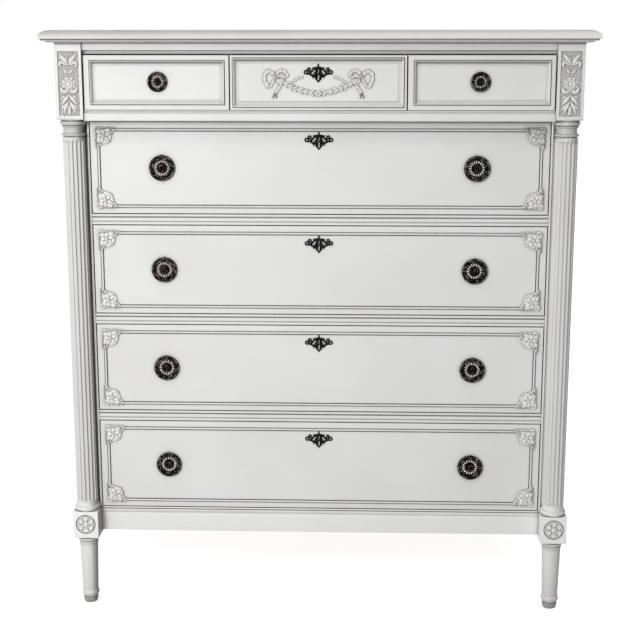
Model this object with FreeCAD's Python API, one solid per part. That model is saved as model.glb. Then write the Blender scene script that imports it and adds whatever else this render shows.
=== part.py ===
"""Seven-drawer chest with turned and fluted front posts.

Millimetres. +Z is up, the front faces -Y, and the origin is on the floor under the middle of the top.
Every function below makes the pieces of one sub-part, and save() writes them as one STEP file.
"""
import FreeCAD, Part
import math
import os

V = FreeCAD.Vector
X_AXIS = V(1, 0, 0)
Y_AXIS = V(0, 1, 0)
Z_AXIS = V(0, 0, 1)

# ---------------------------------------------------------------- driving dimensions
TOP_WIDTH = 1067.0
TOP_DEPTH = 533.0
TOP_PANEL_THICK = 16.0
BED_MOULDING_HEIGHT = 7.5
CASE_WIDTH = 1016.0
FRONT_OVERHANG = 25.0
BACK_OVERHANG = 6.0

POST = 52.0                     # square of the front posts' blocks
REAR_POST = 45.0
LEG_HEIGHT = 151.0              # floor to the underside of the rosette block
LOW_BLOCK_HEIGHT = 54.0
COLUMN_HEIGHT = 802.0
TOP_BLOCK_HEIGHT = 146.5
COLUMN_R = 21.5
FLUTES = 16
FLUTE_R = 3.4
FLUTE_OFFSET = 1.2              # how far a flute's own axis stands outside the column's surface

FRIEZE_SETBACK = 5.0            # frieze face behind the post blocks
LOWER_SETBACK = 40.0            # large drawers' face behind the post blocks
NICHE_DEPTH = 8.0               # stile face behind the large drawers' face, beside the column
OPENING_HALF = 454.0
EDGE_BEAD = 3.0                 # thin upright bead beside the large drawers

APRON_BOTTOM = 155.0
LARGE_BASE = 204.0              # floor of the lowest drawer's opening
LARGE_HEIGHTS = (188.0, 182.0, 182.0, 184.0)    # openings, lowest first
RAIL = 21.0
FRIEZE_RAIL = 23.5
SMALL_HEIGHT = 105.5
DIVIDER_AT = 171.0
DIVIDER = 12.0

SIDE_PANEL = 16.0               # panel and the rails planted on it
SIDE_INSET = 6.0
SIDE_RAIL_THICK = 7.0
SIDE_TOP_RAIL = 72.0
SIDE_LOW_RAIL = 76.0
SIDE_STILE = 24.0
BACK_PANEL = 8.0
REAR_RAIL = 22.0
DUST_BOARD = 12.0
HOUSING = 4.0                   # how far the dust board enters the side panels
TENON = 10.0

FRONT_THICK = 20.0
FRONT_GAP = 1.6
WALL = 12.0                     # drawer sides and backs
BOTTOM = 6.0
BOTTOM_RAISE = 10.0
GROOVE = 5.0
DRAWER_LENGTH = 390.0           # behind the front
SIDE_PLAY = 4.0
RUN_PLAY = 0.3                  # drawer side above its runner
SIDE_DROP = 14.0                # drawer side below the top of its opening

STRIP_INSET = 12.5              # planted strip moulding on the large fronts
STRIP = 6.0
STRIP_PROUD = 2.6
CORNER = 41.0                   # carved corner, measured along each edge
CORNER_BULGE = 24.6             # how far its inner edge reaches along both axes at the diagonal
CORNER_INSET = 9.0
CORNER_PROUD = 3.2
FIELD_DEPTH = 3.5               # sunk fields of the small fronts

PULL_X = 311.0
LARGE_PULL = 1.0
SMALL_PULL = 0.75               # small pulls are the large ones at this scale
RING_R = 23.5                   # ring centre line
RING_WIRE = 2.4
RING_PLAY = 0.35                # round the wire inside its lug
RING_AIR = 0.7                  # between the wire and the back plate's rim
PLATE_RIM = 1.2                 # thickness of the back plate under the ring

# ---------------------------------------------------------------- levels and planes
TOP_FRONT = -TOP_DEPTH / 2
TOP_BACK = TOP_DEPTH / 2
POST_FRONT = TOP_FRONT + FRONT_OVERHANG
POST_BACK = POST_FRONT + POST
FRIEZE_FRONT = POST_FRONT + FRIEZE_SETBACK
LOWER_FRONT = POST_FRONT + LOWER_SETBACK
STILE_FRONT = LOWER_FRONT + NICHE_DEPTH
CASE_BACK = TOP_BACK - BACK_OVERHANG
REAR_FRONT = CASE_BACK - REAR_POST

POST_OUT = CASE_WIDTH / 2
POST_IN = POST_OUT - POST
POST_MID = POST_OUT - POST / 2
POST_AXIS_Y = POST_FRONT + POST / 2
REAR_IN = POST_OUT - REAR_POST
PANEL_OUT = POST_OUT - SIDE_INSET
PANEL_IN = PANEL_OUT - SIDE_PANEL

LOW_BLOCK_Z = LEG_HEIGHT
COLUMN_Z = LOW_BLOCK_Z + LOW_BLOCK_HEIGHT
TOP_BLOCK_Z = COLUMN_Z + COLUMN_HEIGHT
CASE_TOP = TOP_BLOCK_Z + TOP_BLOCK_HEIGHT
PANEL_BOTTOM_Z = CASE_TOP + BED_MOULDING_HEIGHT
TOTAL_HEIGHT = PANEL_BOTTOM_Z + TOP_PANEL_THICK


def opening_floors():
    """Floor height of each large opening, lowest first."""
    floors = []
    z = LARGE_BASE
    for height in LARGE_HEIGHTS:
        floors.append(z)
        z += height + RAIL
    return floors


LARGE_FLOORS = opening_floors()
FRIEZE_Z = LARGE_FLOORS[-1] + LARGE_HEIGHTS[-1]
SMALL_Z = FRIEZE_Z + FRIEZE_RAIL
TOP_RAIL_Z = SMALL_Z + SMALL_HEIGHT


# ---------------------------------------------------------------- helpers
def box(x0, x1, y0, y1, z0, z1):
    """Upright box between two corners, given in any order."""
    low = V(min(x0, x1), min(y0, y1), min(z0, z1))
    return Part.makeBox(abs(x1 - x0), abs(y1 - y0), abs(z1 - z0), low)


def path_face(start, steps, place):
    """Closed flat face. A step is one point for a line, or a middle and an end point for an arc."""
    edges = []
    here = start
    for step in steps:
        if len(step) == 1:
            end = step[0]
            edges.append(Part.LineSegment(place(here), place(end)).toShape())
        else:
            middle, end = step
            edges.append(Part.Arc(place(here), place(middle), place(end)).toShape())
        here = end
    edges.append(Part.LineSegment(place(here), place(start)).toShape())
    return Part.Face(Part.Wire(edges))


def polygon(points, place):
    """Closed flat face through straight-sided points."""
    corners = [place(p) for p in points]
    return Part.Face(Part.makePolygon(corners + [corners[0]]))


def mirrored(shape):
    return shape.mirror(V(0, 0, 0), X_AXIS)


def both_sides(shape):
    """The same piece on the right and on the left."""
    return [shape, mirrored(shape)]


def save(name, solids):
    shape = solids[0] if len(solids) == 1 else Part.makeCompound(solids)
    shape.exportStep("parts/" + name + ".step")


# ---------------------------------------------------------------- top
def nosed_slab(half_width, front, back, z0, z1, start, steps):
    """Slab whose front and side edges carry one nose section, mitred at the corners.

    The section's points are (distance in from the tip, height).
    """
    width = 2 * half_width
    depth = back - front
    core = box(-half_width, half_width, front, back, z0, z1)
    edge = start[0]
    side_edge = box(-half_width, -half_width + edge, front, back, z0, z1)
    side_nose = path_face(start, steps, lambda p: V(-half_width + p[0], front, p[1]))
    side_cut = side_edge.cut(side_nose.extrude(V(0, depth, 0)))
    front_edge = box(-half_width, half_width, front, front + edge, z0, z1)
    front_nose = path_face(start, steps, lambda p: V(-half_width, front + p[0], p[1]))
    front_cut = front_edge.cut(front_nose.extrude(V(width, 0, 0)))
    return core.cut(side_cut).cut(mirrored(side_cut)).cut(front_cut)


def top_panel():
    start = (17.0, TOTAL_HEIGHT)
    steps = [
        ((2.6, TOTAL_HEIGHT - 5.4),),
        ((0.0, TOTAL_HEIGHT - 9.0), (1.8, TOTAL_HEIGHT - 13.4)),
        ((5.0, PANEL_BOTTOM_Z),),
        ((17.0, PANEL_BOTTOM_Z),),
    ]
    return nosed_slab(TOP_WIDTH / 2, TOP_FRONT, TOP_BACK, PANEL_BOTTOM_Z, TOTAL_HEIGHT, start, steps)


def top_moulding():
    """Bed moulding under the top: a front strip, a rear strip and two side strips."""
    inset = 6.5
    strip = 50.0
    half = TOP_WIDTH / 2 - inset
    front = TOP_FRONT + inset
    start = (14.0, PANEL_BOTTOM_Z)
    steps = [
        ((0.0, PANEL_BOTTOM_Z),),
        ((0.4, PANEL_BOTTOM_Z - 2.4),),
        ((6.0, PANEL_BOTTOM_Z - 3.6), (9.6, CASE_TOP)),
        ((14.0, CASE_TOP),),
    ]
    frame = nosed_slab(half, front, CASE_BACK, CASE_TOP, PANEL_BOTTOM_Z, start, steps)
    rear_in = CASE_BACK - strip
    front_in = front + strip
    side_in = half - strip
    front_strip = frame.common(box(-half, half, front, front_in, CASE_TOP, PANEL_BOTTOM_Z))
    rear_strip = frame.common(box(-half, half, rear_in, CASE_BACK, CASE_TOP, PANEL_BOTTOM_Z))
    side_strip = frame.common(box(side_in, half, front_in, rear_in, CASE_TOP, PANEL_BOTTOM_Z))
    return [front_strip, rear_strip] + both_sides(side_strip)


# ---------------------------------------------------------------- posts
def turned(start, steps, x, y):
    """Solid turned about a vertical axis. Points are (radius, height)."""
    face = path_face(start, steps, lambda p: V(x + p[0], y, p[1]))
    return face.revolve(V(x, y, 0), Z_AXIS, 360)


def column_turning(x, y):
    """Base, shaft, astragal, neck and echinus, between the two blocks."""
    z = COLUMN_Z
    t = TOP_BLOCK_Z
    steps = [
        ((24.0, z),),
        ((26.0, z + 5.0), (24.0, z + 10.0)),
        ((22.8, z + 10.0),),
        ((22.2, z + 14.0), (COLUMN_R, z + 17.0)),
        ((COLUMN_R, t - 31.0),),
        ((23.4, t - 28.8), (COLUMN_R, t - 26.6)),
        ((20.8, t - 26.6),),
        ((20.8, t - 14.0),),
        ((22.4, t - 7.0), (25.6, t - 4.0)),
        ((25.6, t),),
        ((0.0, t),),
    ]
    return turned((0.0, z), steps, x, y)


def leg_turning(x, y):
    """Collar, tapered shaft, ankle ring and foot, below the rosette block."""
    z = LOW_BLOCK_Z
    steps = [
        ((13.4, 0.0),),
        ((14.4, 7.0), (14.8, 13.0)),
        ((14.0, 14.0),),
        ((14.0, 15.6),),
        ((15.6, 19.4),),
        ((18.2, 23.6), (16.6, 27.8)),
        ((16.0, 27.8),),
        ((19.4, z - 15.0),),
        ((20.6, z - 13.4), (19.8, z - 11.8)),
        ((20.6, z - 8.0), (23.4, z - 5.0)),
        ((24.4, z - 3.0), (23.4, z - 1.2)),
        ((23.4, z),),
        ((0.0, z),),
    ]
    return turned((0.0, 0.0), steps, x, y)


def flutes(x, y, turn):
    """Round-ended cutters for the column's flutes. With no turn, one of them faces the front."""
    low = COLUMN_Z + 21.0 + FLUTE_R
    high = TOP_BLOCK_Z - 40.0 - FLUTE_R
    reach = COLUMN_R + FLUTE_OFFSET
    cutters = []
    for i in range(FLUTES):
        angle = 2 * math.pi * (i + turn) / FLUTES - math.pi / 2
        foot = V(x + reach * math.cos(angle), y + reach * math.sin(angle), low)
        head = V(foot.x, foot.y, high)
        bar = Part.makeCylinder(FLUTE_R, high - low, foot, Z_AXIS)
        cutters += [bar, Part.makeSphere(FLUTE_R, foot), Part.makeSphere(FLUTE_R, head)]
    return cutters


def front_disc(x, z, face_y, r_out, r_in, depth):
    """Disc or ring standing in front of a face, towards -Y, or sunk into it for a negative depth."""
    disc = Part.makeCylinder(r_out, abs(depth), V(x, face_y, z), V(0, -depth, 0))
    if r_in > 0:
        disc = disc.cut(Part.makeCylinder(r_in, abs(depth), V(x, face_y, z), V(0, -depth, 0)))
    return disc


def front_post(flute_turn):
    """Right-hand post, one length of timber. flute_turn turns its flutes, in pitches."""
    x = POST_MID
    y = POST_AXIS_Y
    top_block = box(POST_IN, POST_OUT, POST_FRONT, POST_BACK, TOP_BLOCK_Z, CASE_TOP)
    low_block = box(POST_IN, POST_OUT, POST_FRONT, POST_BACK, LOW_BLOCK_Z, COLUMN_Z)

    # Sunk panel of the top block, with its flower left standing in it.
    margin = 6.0
    depth = 2.2
    panel_low = TOP_BLOCK_Z + 8.0
    panel_high = CASE_TOP - 16.5
    panel = box(POST_IN + margin, POST_OUT - margin, POST_FRONT, POST_FRONT + depth, panel_low, panel_high)
    flower = front_disc(x, (panel_low + panel_high) / 2, POST_FRONT + depth, 8.5, 0, depth)
    top_block = top_block.cut(panel).fuse(flower)

    # Ring groove and flower of the rosette block.
    rosette_z = COLUMN_Z - 25.0
    groove = front_disc(x, rosette_z, POST_FRONT, 20.4, 18.4, -1.6)
    dish = front_disc(x, rosette_z, POST_FRONT, 16.5, 6.0, -1.0)
    low_block = low_block.cut(groove).cut(dish)

    column = column_turning(x, y).cut(Part.makeCompound(flutes(x, y, flute_turn)))
    return top_block.fuse([low_block, column, leg_turning(x, y)]).removeSplitter()


def rear_post():
    """Right-hand rear post: square, with a tapered foot."""
    upper = box(REAR_IN, POST_OUT, REAR_FRONT, CASE_BACK, LEG_HEIGHT, CASE_TOP)
    taper = 7.0

    def ring(z, inset):
        points = [(REAR_IN + inset, REAR_FRONT + inset), (POST_OUT, REAR_FRONT + inset),
                  (POST_OUT, CASE_BACK), (REAR_IN + inset, CASE_BACK)]
        corners = [V(px, py, z) for px, py in points]
        return Part.makePolygon(corners + [corners[0]])

    foot = Part.makeLoft([ring(0, 2 * taper), ring(LEG_HEIGHT, 0)], True, True)
    return upper.fuse(foot).removeSplitter()


# ---------------------------------------------------------------- front frame
EDGE_STRIP = 5.0                # flat strips along a rail's edges
GROOVE_WIDE = 1.5
RAIL_GROOVE = 2.2
FINE_GROOVE = 1.0


def grooved(rail, x_half, face_y, grooves):
    """Rail with level grooves along its face. Each groove is (lower height, height, depth)."""
    for z, wide, depth in grooves:
        rail = rail.cut(box(-x_half, x_half, face_y, face_y + depth, z, z + wide))
    return rail


def drawer_rail(z):
    """Rail between two large drawers, with a stub tenon at each end. z is its top."""
    deep = 60.0
    body = box(-OPENING_HALF, OPENING_HALF, LOWER_FRONT, LOWER_FRONT + deep, z - RAIL, z)
    grooves = [
        (z - EDGE_STRIP - GROOVE_WIDE, GROOVE_WIDE, RAIL_GROOVE),
        (z - RAIL + EDGE_STRIP, GROOVE_WIDE, FINE_GROOVE),
    ]
    body = grooved(body, OPENING_HALF, LOWER_FRONT, grooves)
    return body.fuse(rail_tenons(z)).removeSplitter()


def rail_tenons(z):
    long = OPENING_HALF + TENON
    front = STILE_FRONT + 3.0
    bar = box(-long, long, front, front + 12.0, z - RAIL + 4.0, z - 4.0)
    return bar


def drawer_rails():
    return [drawer_rail(z) for z in LARGE_FLOORS[1:]]


def front_stile():
    """Right-hand stile behind the column, coped to its base and capital, with the bead beside the drawers."""
    board = box(OPENING_HALF, PANEL_IN, STILE_FRONT, STILE_FRONT + 18.0, COLUMN_Z, FRIEZE_Z)
    bead = box(OPENING_HALF, OPENING_HALF + EDGE_BEAD, LOWER_FRONT, STILE_FRONT, COLUMN_Z, FRIEZE_Z)
    stile = board.fuse(bead).removeSplitter()
    for z in LARGE_FLOORS[1:]:
        stile = stile.cut(rail_tenons(z))
    return stile.cut(column_turning(POST_MID, POST_AXIS_Y))


def post_tenons(z0, z1, front):
    long = POST_IN + TENON
    return box(-long, long, front, front + 12.0, z0, z1)


TOP_RAIL_TENON = (TOP_RAIL_Z + 4.0, CASE_TOP - 4.0, FRIEZE_FRONT + 10.0)
FRIEZE_RAIL_TENON = (TOP_BLOCK_Z + 3.0, SMALL_Z - 4.0, FRIEZE_FRONT + 10.0)
APRON_TENON = (APRON_BOTTOM + 6.0, LARGE_BASE - 8.0, LOWER_FRONT + 3.0)


def top_rail():
    rail = box(-POST_IN, POST_IN, FRIEZE_FRONT, POST_BACK, TOP_RAIL_Z, CASE_TOP)
    groove = (TOP_RAIL_Z + EDGE_STRIP - GROOVE_WIDE / 2, GROOVE_WIDE, RAIL_GROOVE)
    rail = grooved(rail, POST_IN, FRIEZE_FRONT, [groove])
    return rail.fuse(post_tenons(*TOP_RAIL_TENON)).removeSplitter()


FRIEZE_RAIL_BACK = FRIEZE_FRONT + 88.0


def frieze_rail():
    rail = box(-POST_IN, POST_IN, FRIEZE_FRONT, FRIEZE_RAIL_BACK, FRIEZE_Z, SMALL_Z)
    groove = (SMALL_Z - EDGE_STRIP - GROOVE_WIDE, GROOVE_WIDE, RAIL_GROOVE)
    rail = grooved(rail, POST_IN, FRIEZE_FRONT, [groove])
    return rail.fuse(post_tenons(*FRIEZE_RAIL_TENON)).removeSplitter()


def apron():
    board = box(-POST_IN, POST_IN, LOWER_FRONT, LOWER_FRONT + 20.0, APRON_BOTTOM, LARGE_BASE)
    grooves = [
        (LARGE_BASE - EDGE_STRIP - GROOVE_WIDE, GROOVE_WIDE, RAIL_GROOVE),
        (LARGE_BASE - 17.5, GROOVE_WIDE, FINE_GROOVE),
    ]
    board = grooved(board, POST_IN, LOWER_FRONT, grooves)
    return board.fuse(post_tenons(*APRON_TENON)).removeSplitter()


def housed(post):
    """Post with the mortises of the three rails that end in it."""
    for tenon in (TOP_RAIL_TENON, FRIEZE_RAIL_TENON, APRON_TENON):
        post = post.cut(post_tenons(*tenon))
    return post


# ---------------------------------------------------------------- carcase
def dust_board():
    half = PANEL_IN + HOUSING
    return box(-half, half, FRIEZE_RAIL_BACK, REAR_FRONT, SMALL_Z - DUST_BOARD, SMALL_Z)


def side_panel():
    """Right-hand panel, with a frame of rails and stiles planted on its outside."""
    ground = PANEL_OUT - SIDE_RAIL_THICK
    panel = box(PANEL_IN, ground, POST_BACK, REAR_FRONT, LEG_HEIGHT, CASE_TOP).cut(dust_board())
    low = LEG_HEIGHT + SIDE_LOW_RAIL
    high = CASE_TOP - SIDE_TOP_RAIL
    rails = [
        box(ground, PANEL_OUT, POST_BACK, REAR_FRONT, LEG_HEIGHT, low),
        box(ground, PANEL_OUT, POST_BACK, REAR_FRONT, high, CASE_TOP),
    ]
    stiles = [
        box(ground, PANEL_OUT, POST_BACK, POST_BACK + SIDE_STILE, low, high),
        box(ground, PANEL_OUT, REAR_FRONT - SIDE_STILE, REAR_FRONT, low, high),
    ]
    return [panel] + rails + stiles


def back_panel():
    back = CASE_BACK - 4.0
    return box(-REAR_IN, REAR_IN, back - BACK_PANEL, back, LEG_HEIGHT, CASE_TOP)


def rear_rails():
    high = 50.0
    back = CASE_BACK - 4.0 - BACK_PANEL
    rails = []
    for z in (LEG_HEIGHT, CASE_TOP - high):
        rails.append(box(-REAR_IN, REAR_IN, back - REAR_RAIL, back, z, z + high))
    return rails


def frieze_divider():
    back = REAR_FRONT
    front = FRIEZE_FRONT + FRONT_THICK + 1.0
    x0 = DIVIDER_AT - DIVIDER / 2
    return box(x0, x0 + DIVIDER, front, back, SMALL_Z, TOP_RAIL_Z)


RUNNER_IN = 438.0
RUNNER_HIGH = 19.0


def drawer_runners():
    """Bars that the large drawers' sides slide on, one each side of every opening."""
    bars = []
    for i, floor in enumerate(LARGE_FLOORS):
        front = LOWER_FRONT + (20.0 if i == 0 else 60.0)
        bar = box(RUNNER_IN, PANEL_IN, front, REAR_FRONT, floor - RUNNER_HIGH, floor)
        stile = box(OPENING_HALF, PANEL_IN, STILE_FRONT, STILE_FRONT + 18.0, 0, CASE_TOP)
        bars += both_sides(bar.cut(stile))
    return bars


def drawer_guides():
    """Strips beside the drawers that keep them straight."""
    high = 22.0
    inner = OPENING_HALF - SIDE_PLAY + 1.5
    strips = []
    for floor in LARGE_FLOORS:
        strip = box(inner, PANEL_IN, STILE_FRONT + 40.0, REAR_FRONT, floor, floor + high)
        strips += both_sides(strip)
    upper = box(inner, PANEL_IN, FRIEZE_RAIL_BACK, REAR_FRONT, SMALL_Z, SMALL_Z + high)
    return strips + both_sides(upper)


def drawer_stops():
    """Small blocks behind the drawer fronts, which meet them when they are shut."""
    wide = 30.0
    long = 20.0
    high = 5.0
    from_middle = 200.0
    stops = []
    y0 = LOWER_FRONT + FRONT_THICK + RUN_PLAY
    for floor in LARGE_FLOORS[1:]:
        stops += both_sides(box(from_middle, from_middle + wide, y0, y0 + long, floor, floor + high))
    y0 = FRIEZE_FRONT + FRONT_THICK + RUN_PLAY
    for x in (-PULL_X, 0.0, PULL_X):
        stops.append(box(x - wide / 2, x + wide / 2, y0, y0 + long, SMALL_Z, SMALL_Z + high))
    return stops


# ---------------------------------------------------------------- drawers
def corner_plate(x, z, sx, sz, face_y):
    """Base of a carved corner, with a bulging inner edge. sx and sz point into the front."""
    def place(p):
        return V(x + sx * p[0], face_y, z + sz * p[1])

    bulge = (CORNER_BULGE, CORNER_BULGE)
    face = path_face((0.0, 0.0), [((CORNER, 0.0),), (bulge, (0.0, CORNER))], place)
    return face.extrude(V(0, -CORNER_PROUD, 0))


def strip_frame(x0, x1, z0, z1, face_y):
    """Planted half-round strip that runs round a large front."""
    proud = STRIP_PROUD
    outer = box(x0, x1, face_y - proud, face_y, z0, z1)
    inner = box(x0 + STRIP, x1 - STRIP, face_y - proud, face_y, z0 + STRIP, z1 - STRIP)
    frame = outer.cut(inner)
    edges = []
    for edge in frame.Edges:
        points = [v.Point for v in edge.Vertexes]
        if all(abs(p.y - (face_y - proud)) < 0.001 for p in points):
            edges.append(edge)
    return frame.makeChamfer(1.4, edges)


def large_front(x0, x1, z0, z1):
    y = LOWER_FRONT
    front = box(x0, x1, y, y + FRONT_THICK, z0, z1)
    n = STRIP_INSET
    front = front.fuse(strip_frame(x0 + n, x1 - n, z0 + n, z1 - n, y))
    c = CORNER_INSET
    for x, sx in ((x0 + c, 1), (x1 - c, -1)):
        for z, sz in ((z0 + c, 1), (z1 - c, -1)):
            front = front.fuse(corner_plate(x, z, sx, sz, y))
    return front.removeSplitter()


def small_front(x0, x1, z0, z1, rim, slope):
    """Front with a sunk field inside a sloping moulding."""
    y = FRIEZE_FRONT
    front = box(x0, x1, y, y + FRONT_THICK, z0, z1)

    def ring(inset, at):
        corners = [V(x0 + inset, at, z0 + inset), V(x1 - inset, at, z0 + inset),
                   V(x1 - inset, at, z1 - inset), V(x0 + inset, at, z1 - inset)]
        return Part.makePolygon(corners + [corners[0]])

    sunk = Part.makeLoft([ring(rim, y), ring(rim + slope, y + FIELD_DEPTH)], True, True)
    return front.cut(sunk)


def drawer(name, x0, x1, z0, z1, face_y, front, stud_holes):
    """Write one drawer: its front, its sides and back, and its bottom.

    x0 to x1 is the room for the box, z0 to z1 the opening.
    """
    y0 = face_y + FRONT_THICK
    y1 = y0 + DRAWER_LENGTH
    low = z0 + RUN_PLAY
    high = z1 - SIDE_DROP
    left = box(x0, x0 + WALL, y0, y1, low, high)
    right = box(x1 - WALL, x1, y0, y1, low, high)
    back = box(x0 + WALL, x1 - WALL, y1 - WALL, y1, z0 + BOTTOM_RAISE + BOTTOM, high)
    bottom = box(x0 + WALL - GROOVE, x1 - WALL + GROOVE, y0 - GROOVE, y1,
                 z0 + BOTTOM_RAISE, z0 + BOTTOM_RAISE + BOTTOM)
    for hole in stud_holes:
        front = front.cut(hole)
    save(name + "_front", [front.cut(bottom)])
    save(name + "_box", [left.cut(bottom), right.cut(bottom), back])
    save(name + "_bottom", [bottom])


# ---------------------------------------------------------------- pulls
LUG_HALF = 2.6
LUG_WALL = 1.2
STUD_R = 2.0
STUD_PROUD = 7.0                # stud behind the drawer's front
NUT_R = 4.6
NUT_THICK = 3.2


def pull_profile(k):
    """Turned section of a back plate: (radius, height above the drawer) before scaling."""
    points = [
        ((24.6, 0.0),),
        ((24.6, 0.7),),
        ((24.2, PLATE_RIM),),
        ((19.8, PLATE_RIM),),
        ((19.0, 3.9), (17.2, 3.4)),
        ((16.4, 2.4),),
        ((15.4, 2.4),),
        ((13.4, 4.3), (11.4, 2.4)),
        ((9.6, 2.0),),
        ((7.6, 3.4),),
        ((6.6, 6.4), (4.2, 6.8)),
        ((2.6, 5.2),),
        ((0.0, 5.2),),
    ]
    return [tuple((p[0] * k, p[1] * k) for p in step) for step in points]


def pull_plate(x, z, face_y, back_y, k):
    """Beaded back plate with its lug, its stud and its nut. The wood lies between face_y and back_y."""
    face = path_face((0.0, 0.0), pull_profile(k), lambda p: V(x + p[0], face_y - p[1], z))
    plate = face.revolve(V(x, face_y, z), Y_AXIS, 360)
    ring_y = face_y - ring_stand(k)
    pivot = V(x, ring_y, z + RING_R * k)
    half = LUG_HALF * k
    bore_r = RING_WIRE * k + RING_PLAY
    lug = Part.makeCylinder(bore_r + LUG_WALL * k, 2 * half, pivot - V(half, 0, 0), X_AXIS)
    neck = box(x - half, x + half, face_y, ring_y, z + 19.0 * k, pivot.z)
    eye = Part.makeCylinder(bore_r, 4 * half, pivot - V(2 * half, 0, 0), X_AXIS)
    plate = plate.fuse([lug, neck]).cut(eye).removeSplitter()
    stud = Part.makeCylinder(STUD_R, back_y - face_y + STUD_PROUD, V(x, face_y, z), Y_AXIS)
    nut = hex_nut(x, z, back_y).cut(stud)
    return [plate, stud, nut]


def hex_nut(x, z, y):
    points = []
    for i in range(6):
        angle = i * math.pi / 3
        points.append((x + NUT_R * math.cos(angle), z + NUT_R * math.sin(angle)))
    return polygon(points, lambda p: V(p[0], y, p[1])).extrude(V(0, NUT_THICK, 0))


def ring_stand(k):
    """Distance from the drawer's face to the ring's centre line."""
    return (PLATE_RIM + RING_WIRE) * k + RING_AIR


def pull_ring(x, z, face_y, k):
    centre = V(x, face_y - ring_stand(k), z)
    return Part.makeTorus(RING_R * k, RING_WIRE * k, centre, Y_AXIS)


def stud_hole(x, z, face_y):
    return Part.makeCylinder(STUD_R, FRONT_THICK, V(x, face_y, z), Y_AXIS)


# Right half of the escutcheon's outline, from the top spike down: (across, up) from its middle.
ESCUTCHEON_HALF = (
    (0.0, 17.0), (1.3, 10.5), (4.2, 8.6), (7.6, 6.4), (11.0, 2.6), (15.0, 4.6), (19.0, 9.6), (23.5, 8.2),
    (28.0, 3.0), (26.2, -2.0), (20.5, -3.6), (16.0, -1.6), (12.8, -6.6), (8.6, -5.0), (5.4, -8.6),
    (3.6, -11.0), (2.6, -13.4), (0.0, -17.6),
)
ESCUTCHEON_HOLES = ((24.0, 2.2, 2.2), (19.4, 4.6, 1.8), (15.4, 0.9, 1.3))   # across, up, radius
ESCUTCHEON_THICK = 1.6
PIN_X = 8.6
PIN_R = 0.7
PIN_LONG = 8.0
PIN_HEAD = 0.5                  # how far a pin stands out of the plate


def escutcheon_pins(z, face_y):
    y = face_y - ESCUTCHEON_THICK - PIN_HEAD
    return [Part.makeCylinder(PIN_R, PIN_LONG, V(sx * PIN_X, y, z + 1.0), Y_AXIS) for sx in (1, -1)]


def escutcheon(z, face_y):
    """Pierced scroll plate and its two pins, on the middle line."""
    right = list(ESCUTCHEON_HALF)
    left = [(-x, up) for x, up in reversed(right[1:-1])]
    outline = polygon(right + left, lambda p: V(p[0], face_y, z + p[1]))
    plate = outline.extrude(V(0, -ESCUTCHEON_THICK, 0))
    for x, up, r in ESCUTCHEON_HOLES:
        for sx in (1, -1):
            plate = plate.cut(front_disc(sx * x, z + up, face_y, r, 0, ESCUTCHEON_THICK))
    plate = plate.cut(front_disc(0, z - 12.4, face_y, 1.1, 0, ESCUTCHEON_THICK))
    pins = escutcheon_pins(z, face_y)
    for pin in pins:
        plate = plate.cut(pin)
    return [plate] + pins


# ---------------------------------------------------------------- assembly
ESCUTCHEON_DROP = 37.5          # escutcheon's middle below the top of a large opening
SMALL_ESCUTCHEON_DROP = 35.5


def write_large_drawers():
    names = ("large_4", "large_3", "large_2", "large_1")
    half = OPENING_HALF - FRONT_GAP
    box_half = OPENING_HALF - SIDE_PLAY
    for name, z0, height in zip(names, LARGE_FLOORS, LARGE_HEIGHTS):
        z1 = z0 + height
        middle = (z0 + z1) / 2
        lock_z = z1 - ESCUTCHEON_DROP
        front = large_front(-half, half, z0 + FRONT_GAP, z1 - FRONT_GAP)
        holes = escutcheon_pins(lock_z, LOWER_FRONT)
        plates = []
        for side, x in (("left", -PULL_X), ("right", PULL_X)):
            holes.append(stud_hole(x, middle, LOWER_FRONT))
            plates += pull_plate(x, middle, LOWER_FRONT, LOWER_FRONT + FRONT_THICK, LARGE_PULL)
            save(name + "_ring_" + side, [pull_ring(x, middle, LOWER_FRONT, LARGE_PULL)])
        drawer(name, -box_half, box_half, z0, z1, LOWER_FRONT, front, holes)
        save(name + "_pull_plates", plates)
        save(name + "_escutcheon", escutcheon(lock_z, LOWER_FRONT))


def write_small_drawers():
    z0 = SMALL_Z
    z1 = SMALL_Z + SMALL_HEIGHT
    middle = (z0 + z1) / 2
    low = z0 + FRONT_GAP
    high = z1 - FRONT_GAP
    y = FRIEZE_FRONT
    clear = DIVIDER_AT + DIVIDER / 2 + 1.5
    joint = FRONT_GAP / 2

    lock_z = z1 - SMALL_ESCUTCHEON_DROP
    x1 = DIVIDER_AT - joint
    front = small_front(-x1, x1, low, high, 7.0, 9.0)
    half = DIVIDER_AT - DIVIDER / 2 - 1.5
    drawer("small_centre", -half, half, z0, z1, y, front, escutcheon_pins(lock_z, y + FIELD_DEPTH))
    save("small_centre_escutcheon", escutcheon(lock_z, y + FIELD_DEPTH))

    for side, sign in (("left", -1), ("right", 1)):
        edges = sorted((sign * (DIVIDER_AT + joint), sign * (OPENING_HALF + 0.4)))
        room = sorted((sign * clear, sign * (OPENING_HALF - SIDE_PLAY)))
        front = small_front(edges[0], edges[1], low, high, 9.0, 8.0)
        field = y + FIELD_DEPTH
        name = "small_" + side
        hole = stud_hole(sign * PULL_X, middle, field)
        drawer(name, room[0], room[1], z0, z1, y, front, [hole])
        save(name + "_pull_plate", pull_plate(sign * PULL_X, middle, field, y + FRONT_THICK, SMALL_PULL))
        save(name + "_ring", [pull_ring(sign * PULL_X, middle, field, SMALL_PULL)])


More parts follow.
